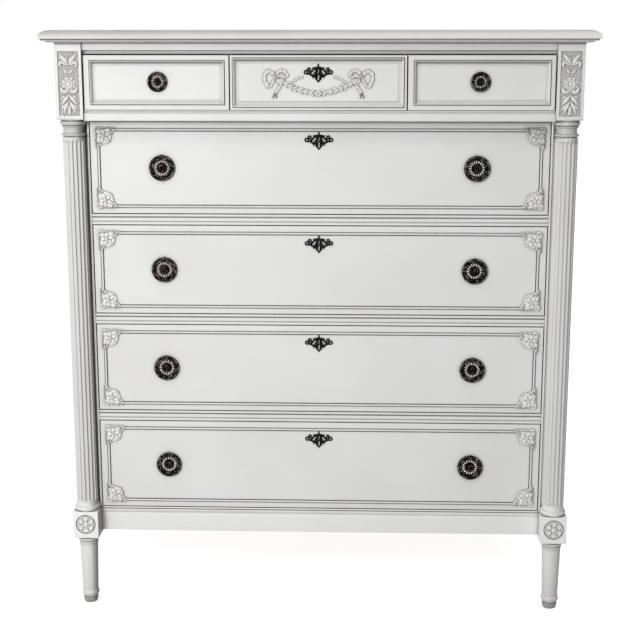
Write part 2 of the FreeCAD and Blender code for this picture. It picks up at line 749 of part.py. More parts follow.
def write_case():
    save("front_post_right", [housed(front_post(0.0))])
    save("front_post_left", [mirrored(housed(front_post(0.5)))])
    save("rear_posts", both_sides(rear_post()))
    save("top_panel", [top_panel()])
    save("top_moulding", top_moulding())
    save("side_panels", [half for piece in side_panel() for half in both_sides(piece)])
    save("back_panel", [back_panel()])
    save("rear_rails", rear_rails())
    save("top_rail", [top_rail()])
    save("frieze_rail", [frieze_rail()])
    save("drawer_rails", drawer_rails())
    save("apron", [apron()])
    save("front_stiles", both_sides(front_stile()))
    save("dust_board", [dust_board()])
    save("frieze_dividers", both_sides(frieze_divider()))
    save("drawer_runners", drawer_runners())
    save("drawer_guides", drawer_guides())
    save("drawer_stops", drawer_stops())


def main():
    os.makedirs("parts", exist_ok=True)
    write_case()
    write_large_drawers()
    write_small_drawers()


main()
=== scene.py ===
import math

import bmesh
import bpy
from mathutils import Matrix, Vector, noise


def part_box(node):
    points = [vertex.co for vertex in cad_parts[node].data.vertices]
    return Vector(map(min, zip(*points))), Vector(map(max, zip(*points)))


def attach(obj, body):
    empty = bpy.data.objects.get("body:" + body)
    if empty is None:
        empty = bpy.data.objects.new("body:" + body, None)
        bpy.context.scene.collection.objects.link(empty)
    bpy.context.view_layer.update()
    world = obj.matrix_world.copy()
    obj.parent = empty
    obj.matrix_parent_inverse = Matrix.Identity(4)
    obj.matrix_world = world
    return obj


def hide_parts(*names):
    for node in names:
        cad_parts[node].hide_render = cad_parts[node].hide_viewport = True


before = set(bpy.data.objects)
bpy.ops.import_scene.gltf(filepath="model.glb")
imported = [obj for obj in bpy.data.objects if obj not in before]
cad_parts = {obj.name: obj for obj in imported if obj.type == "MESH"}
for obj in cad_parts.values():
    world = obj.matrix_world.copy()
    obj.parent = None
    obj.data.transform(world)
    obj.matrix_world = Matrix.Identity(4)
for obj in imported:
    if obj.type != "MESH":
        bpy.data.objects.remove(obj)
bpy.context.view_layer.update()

# The looks of a painted seven-drawer chest: moulded rails, fluted posts, carving, pulls and finishes.
# Shapes are written in millimetres, and put_mesh() gets them in metres.
MM = 0.001


# ---------------------------------------------------------------- sizes
class Box:
    """A CAD node's lowest and highest corners, in millimetres."""

    def __init__(self, node):
        low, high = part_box(node)
        self.x0, self.y0, self.z0 = (c / MM for c in low)
        self.x1, self.y1, self.z1 = (c / MM for c in high)


POST = Box("front_post_right")
TOP = Box("top_panel")
BED = Box("top_moulding")
APRON = Box("apron")
TOP_RAIL = Box("top_rail")
FRIEZE_RAIL = Box("frieze_rail")
STILE = Box("front_stiles")
LARGE_NAMES = ("large_1", "large_2", "large_3", "large_4")
SMALL_NAMES = ("small_left", "small_centre", "small_right")
LARGE = {name: Box(name + "_front") for name in LARGE_NAMES}
SMALL = {name: Box(name + "_front") for name in SMALL_NAMES}

FRONT_THICK = 20
FRONT_GAP = 1.6
LOWER_FACE = LARGE["large_1"].y1 - FRONT_THICK
FRIEZE_FACE = SMALL["small_left"].y1 - FRONT_THICK
FIELD_DEPTH = 3.5
FIELD_FACE = FRIEZE_FACE + FIELD_DEPTH
STILE_FACE = LOWER_FACE + 8
POST_AXIS_X = (POST.x0 + POST.x1) / 2
POST_AXIS_Y = (POST.y0 + POST.y1) / 2
POST_HALF = (POST.x1 - POST.x0) / 2
OPENING_HALF = LARGE["large_1"].x1 + FRONT_GAP

LEG_HEIGHT = 151
COLUMN_Z = 205
BLOCK_LOW = LEG_HEIGHT - 3      # the lower block's bottom edge
BLOCK_Z = (BLOCK_LOW + COLUMN_Z) / 2
TOP_BLOCK_Z = 1007
CASE_TOP = POST.z1
SMALL_FLOOR = SMALL["small_left"].z0 - FRONT_GAP


# ---------------------------------------------------------------- materials
ALONG_X = (0.04, 1, 1)
ALONG_Y = (1, 0.04, 1)
ALONG_Z = (1, 1, 0.04)
LEVEL = (0.04, 0.04, 1)         # along the sides and the back of a drawer alike
EVERY_WAY = (1, 1, 1)


class Nodes:
    """The node tree of a material or world, with short calls."""

    def __init__(self, owner):
        owner.use_nodes = True
        self.owner = owner
        self.tree = owner.node_tree

    def add(self, kind, inputs=(), **settings):
        """New node. Its inputs are given by name or number."""
        node = self.tree.nodes.new(kind)
        for key, value in settings.items():
            setattr(node, key, value)
        for key, value in dict(inputs).items():
            self.wire(value, node.inputs[key])
        return node

    def wire(self, source, target):
        """Links a socket, or sets a value. A colour comes without its alpha."""
        if hasattr(source, "node"):
            self.tree.links.new(source, target)
        elif target.type == "RGBA":
            target.default_value = (*source, 1)
        else:
            target.default_value = source

    def span(self, value, low, high, to_low=0, to_high=1):
        """Maps low..high to to_low..to_high and clamps."""
        ends = {"Value": value, "From Min": low, "From Max": high, "To Min": to_low, "To Max": to_high}
        return self.add("ShaderNodeMapRange", ends).outputs["Result"]

    def math(self, operation, a, b):
        return self.add("ShaderNodeMath", {0: a, 1: b}, operation=operation).outputs["Value"]

    def dot(self, a, b):
        return self.add("ShaderNodeVectorMath", {0: a, 1: b}, operation="DOT_PRODUCT").outputs["Value"]


class Finish(Nodes):
    """A material of the chest, whose base colour is built up one mix at a time."""

    def __init__(self, name, start):
        super().__init__(bpy.data.materials.new(name))
        self.shader = self.tree.nodes["Principled BSDF"]
        self.place = self.add("ShaderNodeTexCoord").outputs["Object"]
        self.base = start

    def tint(self, share, colour):
        mixed = {"Factor": share, "A": self.base, "B": colour}
        self.base = self.add("ShaderNodeMix", mixed, data_type="RGBA").outputs["Result"]

    def noise(self, scale, detail=3, stretch=EVERY_WAY):
        """Noise value. stretch multiplies the coordinates, so a small number draws the pattern out."""
        mapping = self.add("ShaderNodeMapping", {"Scale": stretch, "Vector": self.place})
        inputs = {"Scale": scale, "Detail": detail, "Vector": mapping.outputs["Vector"]}
        return self.add("ShaderNodeTexNoise", inputs).outputs["Fac"]

    def along(self, axis):
        return self.add("ShaderNodeSeparateXYZ", {0: self.place}).outputs[axis]

    def away(self, value, middle):
        """Distance of a value from a middle."""
        return self.math("ABSOLUTE", self.math("SUBTRACT", value, middle), 0)

    def slope(self, toward):
        """How far a face turns to a direction, from 1 down to -1."""
        return self.dot(self.add("ShaderNodeNewGeometry").outputs["Normal"], toward)

    def openness(self, distance, inside=False):
        """1 on open faces and less in a crease, or with inside, less away from an edge."""
        node = self.add("ShaderNodeAmbientOcclusion", {"Distance": distance}, samples=8, inside=inside)
        return node.outputs["AO"]

    def done(self, height, strength, distance, **values):
        """Sets the bump, the base colour and other inputs of the shader, and hands the material over."""
        bump = self.add("ShaderNodeBump", {"Strength": strength, "Distance": distance, "Height": height})
        values.update(Normal=bump.outputs["Normal"], Base_Color=self.base)
        for key, value in values.items():
            self.wire(value, self.shader.inputs[key.replace("_", " ")])
        return self.owner


# Near black for painted shade, with some grime, in creases and just under the top.
SHADE_AND_GRIME = (0.07, 0.066, 0.06)


def paint(name, colours, stretch, wear=0.35, crease_reach=0.003, hollow_shade=0.66, post=False, wear_and_shade_band=None,
          facing_shade=None, paler_right_painted_light=None, overhang_shadow=None):
    """Brushed satin paint over old wood, with painted shade in its hollows, painted shade and grime in its
    creases, and thin worn edges.

    On a post it also has painted shade round the capital's neck under the upper block, painted shade and
    grime just under the top, and it is worn to the wood at the foot.
    The band of wear and shade is a strip along a height: real wear by hands on the apron, painted shade along
    the top's front edge: (height, half its width, colour, share). It is weaker to the right.
    The facing shade is painted shade on the slopes that face one way: (direction, slope where it starts and
    is full, share, colour).
    The paler right colour is painted light: the paint turns to it towards the right end, where the light
    falls off.
    The overhang shadow is a painted shadow that greys the paint up to a height, as under an overhang:
    (height, how far below it starts, share).
    """
    n = Finish(name, colours[0])
    height = n.along("Z")
    n.tint(n.span(n.noise(5, 2), 0.35, 0.65), colours[1])
    # painted light: paler towards the right end
    if paler_right_painted_light:
        n.tint(n.span(n.along("X"), -0.35, 0.5), paler_right_painted_light)
    n.tint(n.span(n.noise(200, 3, stretch), 0.5, 0.8, 0, 0.07), (0.6, 0.585, 0.56))
    if post:
        ragged = n.math("ADD", height, n.span(n.noise(60, 4), 0.3, 0.7, -0.012, 0.012))
        n.tint(n.span(ragged, 0.03, 0.075, 0.25, 0), (0.5, 0.46, 0.42))
        n.tint(n.span(height, 0.012, 0.0145, 0.85, 0), (0.33, 0.285, 0.25))
        n.tint(n.span(n.away(height, BLOCK_Z * MM), 0.028, 0.034, 0.85, 0), (0.95, 0.95, 0.94))
        # painted shade round the capital's neck, under the overhanging upper block
        neck = (TOP_BLOCK_Z - 19) * MM
        n.tint(n.span(n.away(ragged, neck), 0.014, 0.026, 0.5, 0), (0.4, 0.395, 0.38))
        # painted shade and grime in the strip just under the top
        n.tint(n.span(height, (CASE_TOP - 4.6) * MM, (CASE_TOP - 2.8) * MM, 0, 0.85), SHADE_AND_GRIME)
    # a band along a height: real wear on the apron, painted shade along the top's front edge
    if wear_and_shade_band:
        level, half, band_colour, share = wear_and_shade_band
        band = n.span(n.away(height, level * MM), half * 0.4 * MM, half * MM, share, 0)
        patchy = n.span(n.noise(9, 4), 0.35, 0.65, 0.6, 1)
        uneven = n.math("MULTIPLY", patchy, n.span(n.along("X"), -0.3, 0.5, 1, 0.3))
        n.tint(n.math("MULTIPLY", band, uneven), band_colour)
    # painted shade on the slopes turned one way
    if facing_shade:
        toward, start, full, share, shade_colour = facing_shade
        n.tint(n.span(n.slope(toward), start, full, 0, share), shade_colour)
    # painted shadow up to a height, as under an overhang
    if overhang_shadow:
        level, reach, share = overhang_shadow
        n.tint(n.span(height, (level - reach) * MM, level * MM, 0, share), (0.4, 0.4, 0.405))
    # painted shade: greyer in hollows and under overhangs, near black in creases, where less light reaches
    n.tint(n.span(n.openness(0.011), 0.45, 0.95, hollow_shade, 0), (0.33, 0.325, 0.31))
    crease = n.span(n.openness(crease_reach), 0.35, 0.92, 1, 0)
    n.tint(n.math("MULTIPLY", crease, n.span(n.noise(70), 0.3, 0.7, 0.75, 1)), SHADE_AND_GRIME)
    if wear:
        edge = n.span(n.openness(0.0016, inside=True), 0.45, 0.8, 1, 0)
        worn = n.math("MULTIPLY", edge, n.span(n.noise(24, 4), 0.5, 0.62))
        n.tint(n.math("MULTIPLY", worn, wear), (0.58, 0.51, 0.44))
    roughness = n.span(n.noise(90, 2), 0.3, 0.7, 0.4, 0.52)
    brushed = n.math("ADD", n.noise(320, 3, stretch), n.noise(45))
    return n.done(brushed, 0.12, 0.0002, Roughness=roughness, Specular_IOR_Level=0.35)


def wood(name, light, dark, stretch):
    """Bare timber with grain lines drawn out along the piece."""
    n = Finish(name, light)
    grain = n.noise(55, 6, stretch)
    pores = n.noise(420, 2, stretch)
    n.tint(n.span(grain, 0.35, 0.68), dark)
    n.tint(n.span(pores, 0.58, 0.75, 0, 0.35), (0.22, 0.14, 0.08))
    # painted shade in the corners and hollows of the bare timber
    n.tint(n.span(n.openness(0.02), 0.2, 0.8, 0.35, 0), (0.14, 0.09, 0.05))
    return n.done(n.math("ADD", grain, pores), 0.3, 0.0003, Roughness=n.span(grain, 0.3, 0.7, 0.62, 0.75))


def old_brass(name, dark, bright, rub_and_glint_share, metallic, roughness, pitted=1):
    """Blackened brass, worn bright in patches that also stand as painted glints, black in its hollows."""
    n = Finish(name, dark)
    # bright patches: real wear, and painted glints where polished metal would catch the lamp
    n.tint(n.span(n.noise(150), 0.66 - rub_and_glint_share * 0.4, 0.76 - rub_and_glint_share * 0.4), bright)
    n.tint(n.span(n.openness(0.0014), 0.35, 0.9, pitted, 0), (0.004, 0.0035, 0.003))
    uneven = n.span(n.noise(300, 2), 0.3, 0.7, roughness - 0.06, roughness + 0.08)
    return n.done(n.noise(900, 2), 0.3, 0.0001, Roughness=uneven, Metallic=metallic)


WHITE = ((0.8, 0.8, 0.795), (0.765, 0.76, 0.75))
# a lighter copy of the white paint: painted highlight on the raised carving of the corners and rosettes
WHITE_HIGHLIT = ((0.89, 0.885, 0.87), (0.85, 0.845, 0.83))
# painted shade on the left post's faces turned to the right, away from the light
SHADE_FACING_RIGHT = ((1, 0, 0), 0.4, 0.95, 0.72, (0.16, 0.125, 0.105))
# painted shade on the small fronts' faces turned down and a little to the right
SHADE_FACING_DOWN = ((0.45, 0, -0.89), 0.2, 0.65, 0.68, (0.13, 0.125, 0.115))
PAINT_X = paint("paint_along", WHITE, ALONG_X)
PAINT_Z = paint("paint_upright", WHITE, ALONG_Z)
PAINT_POST = paint("paint_post", WHITE, ALONG_Z, post=True)
PAINT_POST_LEFT = paint("paint_post_left", WHITE, ALONG_Z, post=True, facing_shade=SHADE_FACING_RIGHT)
PAINT_FRONT = paint("paint_small_fronts", WHITE, ALONG_X, facing_shade=SHADE_FACING_DOWN)
# a darker grey: painted shade on the top rail under the top's overhang
PAINT_RAIL_SHADED = paint("paint_top_rail_shaded", ((0.73, 0.73, 0.73), (0.68, 0.68, 0.68)), ALONG_X)
PAINT_CARVED = paint("paint_carved", ((0.81, 0.805, 0.79), (0.77, 0.765, 0.75)), EVERY_WAY, 0, 0.0015, 0.25)
PAINT_CARVING_HIGHLIT = paint("paint_carving_highlit", WHITE_HIGHLIT, EVERY_WAY, 0, 0.0013, 0.12)
PAINT_GARLAND = paint("paint_garland", ((0.83, 0.82, 0.8), (0.78, 0.77, 0.75)), EVERY_WAY, 0, 0.0024, 0.2)
PAINT_STIPPLED = paint("paint_stippled", ((0.54, 0.535, 0.52), (0.46, 0.455, 0.44)), EVERY_WAY, 0, hollow_shade=0.4)
# paler than the white paint: painted light on the edge strips, the left one standing in the column's shadow
PAINT_STRIP_LIT = paint("paint_edge_strip_lit", ((0.86, 0.86, 0.855), WHITE[0]), ALONG_Z, 0.2, 0.0008, 0.1)
PAINT_NICHE = paint("paint_niche", ((0.7, 0.69, 0.67), (0.6, 0.585, 0.565)), ALONG_Z, 0, 0.001, 0.15)
# near black: painted shadow in the left crevice, behind the column
PAINT_NICHE_SHADOW = paint("paint_niche_shadow", ((0.075, 0.065, 0.06), (0.045, 0.04, 0.037)), ALONG_Z, 0)
# on the top: a band of painted shade along the front edge, and painted light making it paler towards the
# right end
PAINT_TOP = paint("paint_top", ((0.675, 0.66, 0.63), (0.65, 0.635, 0.61)), ALONG_X, 0.1,
                  wear_and_shade_band=(TOP.z1 - 2, 10, (0.4, 0.385, 0.36), 0.5), paler_right_painted_light=(0.86, 0.835, 0.79))
PAINT_APRON = paint("paint_apron", ((0.88, 0.88, 0.875), (0.85, 0.845, 0.835)), ALONG_X,
                    wear_and_shade_band=(APRON.z1 - 8, 5, (0.62, 0.52, 0.42), 0.5))
# painted shadow of the frieze rail across the top of the first large drawer and its carved corners
UNDER_FRIEZE = LARGE["large_1"].z1
PAINT_FIRST_SHADOWED = paint("paint_first_drawer_shadowed", WHITE, ALONG_X, overhang_shadow=(UNDER_FRIEZE, 52, 0.36))
PAINT_FIRST_CARVING_SHADOWED = paint("paint_first_carving_shadowed", WHITE_HIGHLIT, EVERY_WAY, 0, 0.0013, 0.12,
                          overhang_shadow=(UNDER_FRIEZE, 52, 0.8))
OAK = ((0.62, 0.47, 0.3), (0.47, 0.32, 0.18))
BARE_X = wood("bare_wood_along", *OAK, ALONG_X)
BARE_Y = wood("bare_wood_deep", *OAK, ALONG_Y)
BARE_BOX = wood("bare_wood_box", *OAK, LEVEL)
BOARD = wood("thin_board", (0.66, 0.52, 0.35), (0.53, 0.39, 0.24), ALONG_X)
BRASS = old_brass("antique_brass", (0.012, 0.0095, 0.0085), (0.075, 0.052, 0.044), 0.45, 1, 0.38)
RUBBED_GLINTING = old_brass("rubbed_glinting_brass", (0.014, 0.012, 0.011), (0.46, 0.42, 0.38), 0.42, 1, 0.34)
WORN_GLINTING = old_brass("worn_glinting_brass", (0.01, 0.009, 0.008), (0.22, 0.19, 0.165), 0.42, 1, 0.36)
# near white and not metal: a painted reflection on the plates' polished brass beads
BEADS_SHINING = old_brass("beads_painted_shine", (1, 0.96, 0.94), (1, 1, 0.99), 0.5, 0, 0.36, 0.1)
BLACKENED = old_brass("blackened_brass", (0.007, 0.0065, 0.006), (0.02, 0.018, 0.016), 0.3, 1, 0.5)


# ---------------------------------------------------------------- mesh helpers
class Shape:
    """Points in millimetres and faces, gathered until piece() makes an object of them."""

    def __init__(self):
        self.points = []
        self.faces = []

    def loft(self, rings, wrap=False):
        """Joins closed loops of equal length. The two end loops are filled, or joined with wrap."""
        start = len(self.points)
        n = len(rings[0])
        count = len(rings)
        for ring in rings:
            self.points.extend(ring)
        for i in range(count if wrap else count - 1):
            a = start + i * n
            b = start + (i + 1) % count * n
            for j in range(n):
                k = (j + 1) % n
                self.faces.append((a + j, a + k, b + k, b + j))
        if not wrap:
            self.faces.append(tuple(range(start + n - 1, start - 1, -1)))
            self.faces.append(tuple(range(start + (count - 1) * n, start + count * n)))

    def relief(self, rows, back):
        """Closed slab with a worked front and a flat rear at the depth back."""
        start = len(self.points)
        n = len(rows[0])
        m = len(rows)
        for row in rows:
            self.points.extend(row)
        for i in range(m - 1):
            for j in range(n - 1):
                a = start + i * n + j
                self.faces.append((a, a + 1, a + n + 1, a + n))
        last = start + (m - 1) * n
        rim = [start + i for i in range(n)] + [start + j * n + n - 1 for j in range(1, m)]
        rim += [last + i for i in range(n - 2, -1, -1)] + [start + j * n for j in range(m - 2, 0, -1)]
        base = len(self.points)
        self.points.extend((self.points[k][0], back, self.points[k][2]) for k in rim)
        for i in range(len(rim)):
            k = (i + 1) % len(rim)
            self.faces.append((rim[i], rim[k], base + k, base + i))
        self.faces.append(tuple(range(base, base + len(rim))))

    def soft_box(self, low, high, radius):
        """Box with rounded edges between two corners."""
        bm = bmesh.new()
        bmesh.ops.create_cube(bm, size=1)
        for vert in bm.verts:
            vert.co = [b if c > 0 else a for a, b, c in zip(low, high, vert.co)]
        bmesh.ops.bevel(bm, geom=bm.edges[:], offset=radius, segments=2, profile=0.5, affect="EDGES")
        start = len(self.points)
        bm.verts.index_update()
        self.points.extend(tuple(v.co) for v in bm.verts)
        self.faces.extend(tuple(start + v.index for v in f.verts) for f in bm.faces)
        bm.free()


def put_mesh(name, mesh, material, body, nodes):
    """Makes a smooth object of a mesh, puts it on its body and hides the CAD nodes it stands for."""
    mesh.shade_smooth()
    mesh.materials.clear()
    mesh.materials.append(material)
    obj = bpy.data.objects.new(name, mesh)
    bpy.context.scene.collection.objects.link(obj)
    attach(obj, body)
    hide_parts(*nodes)
    return obj


def keep_flat(obj):
    obj.modifiers.new("flat_faces", "WEIGHTED_NORMAL").keep_sharp = True


def piece(name, shape, material, body, node, sharp=35, flat=True):
    """Object from a shape, which stands for one CAD node."""
    mesh = bpy.data.meshes.new(name)
    mesh.from_pydata([(x * MM, y * MM, z * MM) for x, y, z in shape.points], [], shape.faces)
    bm = bmesh.new()
    bm.from_mesh(mesh)
    bmesh.ops.remove_doubles(bm, verts=bm.verts, dist=0.002 * MM)
    bmesh.ops.recalc_face_normals(bm, faces=bm.faces)
    bm.to_mesh(mesh)
    bm.free()
    obj = put_mesh(name, mesh, material, body, [node])
    mesh.set_sharp_from_angle(angle=math.radians(sharp))
    if flat:
        keep_flat(obj)


def carved(name, shape, material, body, node):
    """Piece made of small rounded forms."""
    piece(name, shape, material, body, node, sharp=60, flat=False)


def part_solids(bm):
    """Gives each solid its own edges where two of them touch, so that every edge has two faces."""
    left = set(bm.faces)
    solids = []
    for first in bm.faces:
        if first not in left:
            continue
        left.remove(first)
        solid = [first]
        for face in solid:
            for edge in face.edges:
                beyond = [other for other in edge.link_faces if other in left and len(edge.link_faces) == 2]
                left.difference_update(beyond)
                solid.extend(beyond)
        solids.append(solid)
    for solid in solids[1:]:
        bmesh.ops.split(bm, geom=solid)


def softened(node, material, body, radius=0.8):
    """Stands for a plain CAD node with the same mesh, its edges rounded."""
    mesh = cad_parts[node].data.copy()
    bm = bmesh.new()
    bm.from_mesh(mesh)
    bmesh.ops.remove_doubles(bm, verts=bm.verts, dist=0.01 * MM)
    part_solids(bm)
    bmesh.ops.dissolve_limit(bm, angle_limit=math.radians(1), verts=bm.verts, edges=bm.edges)
    bm.to_mesh(mesh)
    bm.free()
    obj = put_mesh(node + "_timber", mesh, material, body, [node])
    bevel = obj.modifiers.new("eased_edges", "BEVEL")
    bevel.width = radius * MM
    bevel.segments = 2
    bevel.limit_method = "ANGLE"
    bevel.angle_limit = math.radians(30)
    keep_flat(obj)


def at(values, t):
    """Value at t, from 0 to 1, along evenly spaced values."""
    if len(values) == 1:
        return values[0]
    place = t * (len(values) - 1)
    k = min(int(place), len(values) - 2)
    part = place - k
    return values[k] * (1 - part) + values[k + 1] * part


def smooth_path(points, count):
    """Smooth curve through points, as count + 1 places."""
    first = tuple(2 * a - b for a, b in zip(points[0], points[1]))
    last = tuple(2 * a - b for a, b in zip(points[-1], points[-2]))
    held = [first] + list(points) + [last]
    path = []
    for i in range(count + 1):
        place = i / count * (len(points) - 1)
        k = min(int(place), len(points) - 2)
        f = place - k
        spot = []
        for p0, p1, p2, p3 in zip(*held[k:k + 4]):
            bend = (2 * p0 - 5 * p1 + 4 * p2 - p3) * f * f
            twist = (3 * p1 - p0 - 3 * p2 + p3) * f ** 3
            spot.append(0.5 * (2 * p1 + (p2 - p0) * f + bend + twist))
        path.append(tuple(spot))
    return path


def circle(count, turn=0):
    """Cosines and sines once round."""
    angles = [2 * math.pi * (i + turn) / count for i in range(count)]
    return [(math.cos(a), math.sin(a)) for a in angles]


def lifted(z, profile):
    """Profile of (radius, height) points, with its heights counted from z."""
    return [(r, z + h) for r, h in profile]


def edge_profile(y, z, points):
    """Corners of a moulding counted from an edge at (y, z)."""
    return [(y + point[0], z + point[1], *point[2:]) for point in points]


def rounded(corners, radius, steps=3):
    """Closed outline with its corners rounded. A third number is a corner's own radius."""
    outline = []
    count = len(corners)
    for i, corner in enumerate(corners):
        p = Vector(corner[:2])
        before = Vector(corners[i - 1][:2]) - p
        after = Vector(corners[(i + 1) % count][:2]) - p
        r = corner[2] if len(corner) > 2 else radius
        r = min(r, before.length * 0.49, after.length * 0.49)
        a = p + before.normalized() * r
        b = p + after.normalized() * r
        for k in range(steps + 1):
            t = k / steps
            spot = a * (1 - t) ** 2 + p * 2 * t * (1 - t) + b * t * t
            outline.append((spot.x, spot.y))
    return outline


def bar(shape, corners, half):
    """Moulding run along X to both sides of the middle. Its corners are (y, z) with an own radius or none."""
    profile = rounded(corners, 0.4)
    shape.loft([[(x, y, z) for y, z in profile] for x in (-half, half)])


def rect_ring(x0, x1, z0, z1, y):
    """Corners of a rectangle in a front."""
    return [(x0, y, z0), (x1, y, z0), (x1, y, z1), (x0, y, z1)]


def level_ring(box, aside, inset, back, z):
    """Corners of a level rectangle inside a box: aside at its two ends and inset at the front."""
    x0 = box.x0 + aside
    x1 = box.x1 - aside
    y0 = box.y0 + inset
    return [(x0, y0, z), (x1, y0, z), (x1, back, z), (x0, back, z)]


RIM_REACH = 3                   # steps this near an edge only shape the edge itself


def nest(shape, x0, x1, z0, z1, face_y, steps, extras=(0, 0), drop=0):
    """Board whose face steps inward from its edges. A step is (inset, depth behind the face).

    Steps past the rim lie further in by extras at the left and right ends, and hang lower by drop.
    """
    rings = []
    for i, depth in steps:
        past = 1 if i > RIM_REACH else 0
        low = z0 + i - drop * past
        high = z1 - i - drop * past
        left = x0 + i + extras[0] * past
        right = x1 - i - extras[1] * past
        rings.append(rect_ring(left, right, low, high, face_y + depth))
    shape.loft(rings)


# ---------------------------------------------------------------- carving helpers
LEAF = ((-1, 0), (-0.8, 0.62), (-0.45, 1), (-0.16, 0.84), (0, 0.5), (0.16, 0.84), (0.45, 1), (0.8, 0.62),
        (1, 0))
ROUND = ((-1, 0), (-0.86, 0.52), (-0.5, 0.87), (0, 1), (0.5, 0.87), (0.86, 0.52), (1, 0))
RIBBON = ((-1, 0), (-0.92, 0.85), (-0.72, 1), (-0.5, 0.72), (0, 0.6), (0.5, 0.72), (0.72, 1), (0.92, 0.85),
          (1, 0))
CUPPED = ((-1, 0), (-0.9, 0.8), (-0.68, 1), (-0.35, 0.55), (0, 0.4), (0.35, 0.55), (0.68, 1), (0.9, 0.8),
          (1, 0))
SINK = 0.5                      # how far carving starts below the face it stands on


def on_front(x, z, face_y, sx=1, sz=1, swap=False):
    """Turns (across, up, out) on a front into a point. sx and sz mirror, swap trades across and up."""
    def place(u, v, h):
        if swap:
            u, v = v, u
        return (x + sx * u, face_y - h, z + sz * v)
    return place


def enlarged(place, k):
    """The same placing, with distances across the front k times as long."""
    return lambda u, v, h: place(u * k, v * k, h)


def turned(place, u0, v0, angle):
    """The same placing, moved to (u0, v0) and turned by an angle in degrees."""
    c = math.cos(math.radians(angle))
    s = math.sin(math.radians(angle))

    def moved(u, v, h):
        return place(u0 + u * c - v * s, v0 + u * s + v * c, h)
    return moved


def stroke(shape, place, points, half_widths, heights, section=ROUND, count=12):
    """Carved leaf, ribbon or stem along a curve. Widths and heights run evenly along it."""
    path = smooth_path(points, count)
    rings = []
    for i, (u, v) in enumerate(path):
        u0, v0 = path[max(i - 1, 0)]
        u1, v1 = path[min(i + 1, count)]
        length = math.hypot(u1 - u0, v1 - v0) or 1
        across = (-(v1 - v0) / length, (u1 - u0) / length)
        w = at(half_widths, i / count)
        h = at(heights, i / count)
        ring = [place(u + across[0] * s * w, v + across[1] * s * w, h * k) for s, k in section]
        ring.append(place(u + across[0] * w, v + across[1] * w, -SINK))
        ring.append(place(u - across[0] * w, v - across[1] * w, -SINK))
        rings.append(ring)
    shape.loft(rings)


def strokes(shape, place, rows):
    """Round strokes, one for each row of points, half widths, heights and count."""
    for points, half_widths, heights, count in rows:
        stroke(shape, place, points, half_widths, heights, ROUND, count)


def boss(shape, place, u, v, profile, count=20):
    """Turned bead standing out of a front. Profile points are (radius, height), rim first."""
    shape.loft([[place(u + r * c, v + r * s, h) for c, s in circle(count)] for r, h in profile])


def bead(shape, place, u, v, r, height, count=10):
    profile = ((1, -SINK / height), (1, 0.15), (0.87, 0.5), (0.5, 0.87), (0.12, 1))
    boss(shape, place, u, v, [(r * share, height * rise) for share, rise in profile], count)


def flower(shape, place, u, v, r, height, petals, turn):
    """Round flower: petals with raised rims about a ringed eye."""
    wide = math.pi * r * 0.62 / petals
    for i in range(petals):
        spot = turned(place, u, v, turn + 360 * i / petals)
        widths = (wide * 0.5, wide, wide * 1.05, wide * 0.6)
        heights = (height * 0.6, height, height * 0.9, height * 0.5)
        stroke(shape, spot, ((r * 0.25, 0), (r * 0.65, 0), (r, 0)), widths, heights, CUPPED, 8)
    eye = r * 0.32
    rise = ((1, 1), (0.8, 1.25), (0.5, 1.05), (0.25, 1.3), (0.05, 1.35))
    boss(shape, place, u, v, [(eye, -SINK)] + [(eye * share, height * k) for share, k in rise], 16)


# ---------------------------------------------------------------- top
END_REACH = 3.2                 # how much nearer to the nose the members under it reach at the two ends


def build_top():
    """Board with a rounded nose and a thin lip, over a bed moulding: a quirk, a rounded member and a cove."""
    under = [(30, 0), (6.3, 0), (5.7, -1.2)]
    nose = [(1.4, -1.2), (0.4, -0.8), (0, 0.1), (0, 3), (0.3, 5.2), (1.1, 7.4), (2.6, 9.4), (5, 11.4),
            (8.4, 13.2), (12.4, 14.6), (16, 15.4), (19.6, TOP.z1 - TOP.z0)]
    board = Shape()
    rings = []
    for steps, reach in ((under, END_REACH), (nose, 0)):
        for inset, z in lifted(TOP.z0, steps):
            rings.append(level_ring(TOP, inset - reach, inset, TOP.y1 - min(inset, 1), z))
    board.loft(rings)
    piece("top_board", board, PAINT_TOP, "case", "top_panel")
    steps = [(60, 0), (9.4, 0), (9.2, 1.4), (7.6, 2.2), (4.4, 2.8), (1.2, 3), (0.3, 3.4), (0, 4.4),
             (0.2, 5.2), (0.9, 5.9), (2.4, 6.2), (2.8, BED.z1 - BED.z0), (60, BED.z1 - BED.z0)]
    bed = Shape()
    bed.loft([level_ring(BED, i - END_REACH, i, BED.y1 - i, z) for i, z in lifted(BED.z0, steps)], wrap=True)
    piece("bed_moulding", bed, PAINT_TOP, "case", "top_moulding")


# ---------------------------------------------------------------- posts
COLUMN_R = 21.5
FLUTES = 16
FLUTE_R = 3.4
FLUTE_REACH = COLUMN_R + 0.6    # distance of a flute's own axis from the column's
FLUTE_TIP = math.sqrt(FLUTE_R ** 2 - (FLUTE_REACH - COLUMN_R) ** 2)
SHOULDER = math.radians(0.7)
EDGE_DIP = 0.3


def flute_angles(half):
    """Places across one pitch as (angle from the flute's middle, whether it is in the flute)."""
    places = [(half * k / 4, True) for k in range(-4, 5)]
    return [(-half - SHOULDER, False)] + places + [(half + SHOULDER, False), (math.pi / FLUTES, False)]


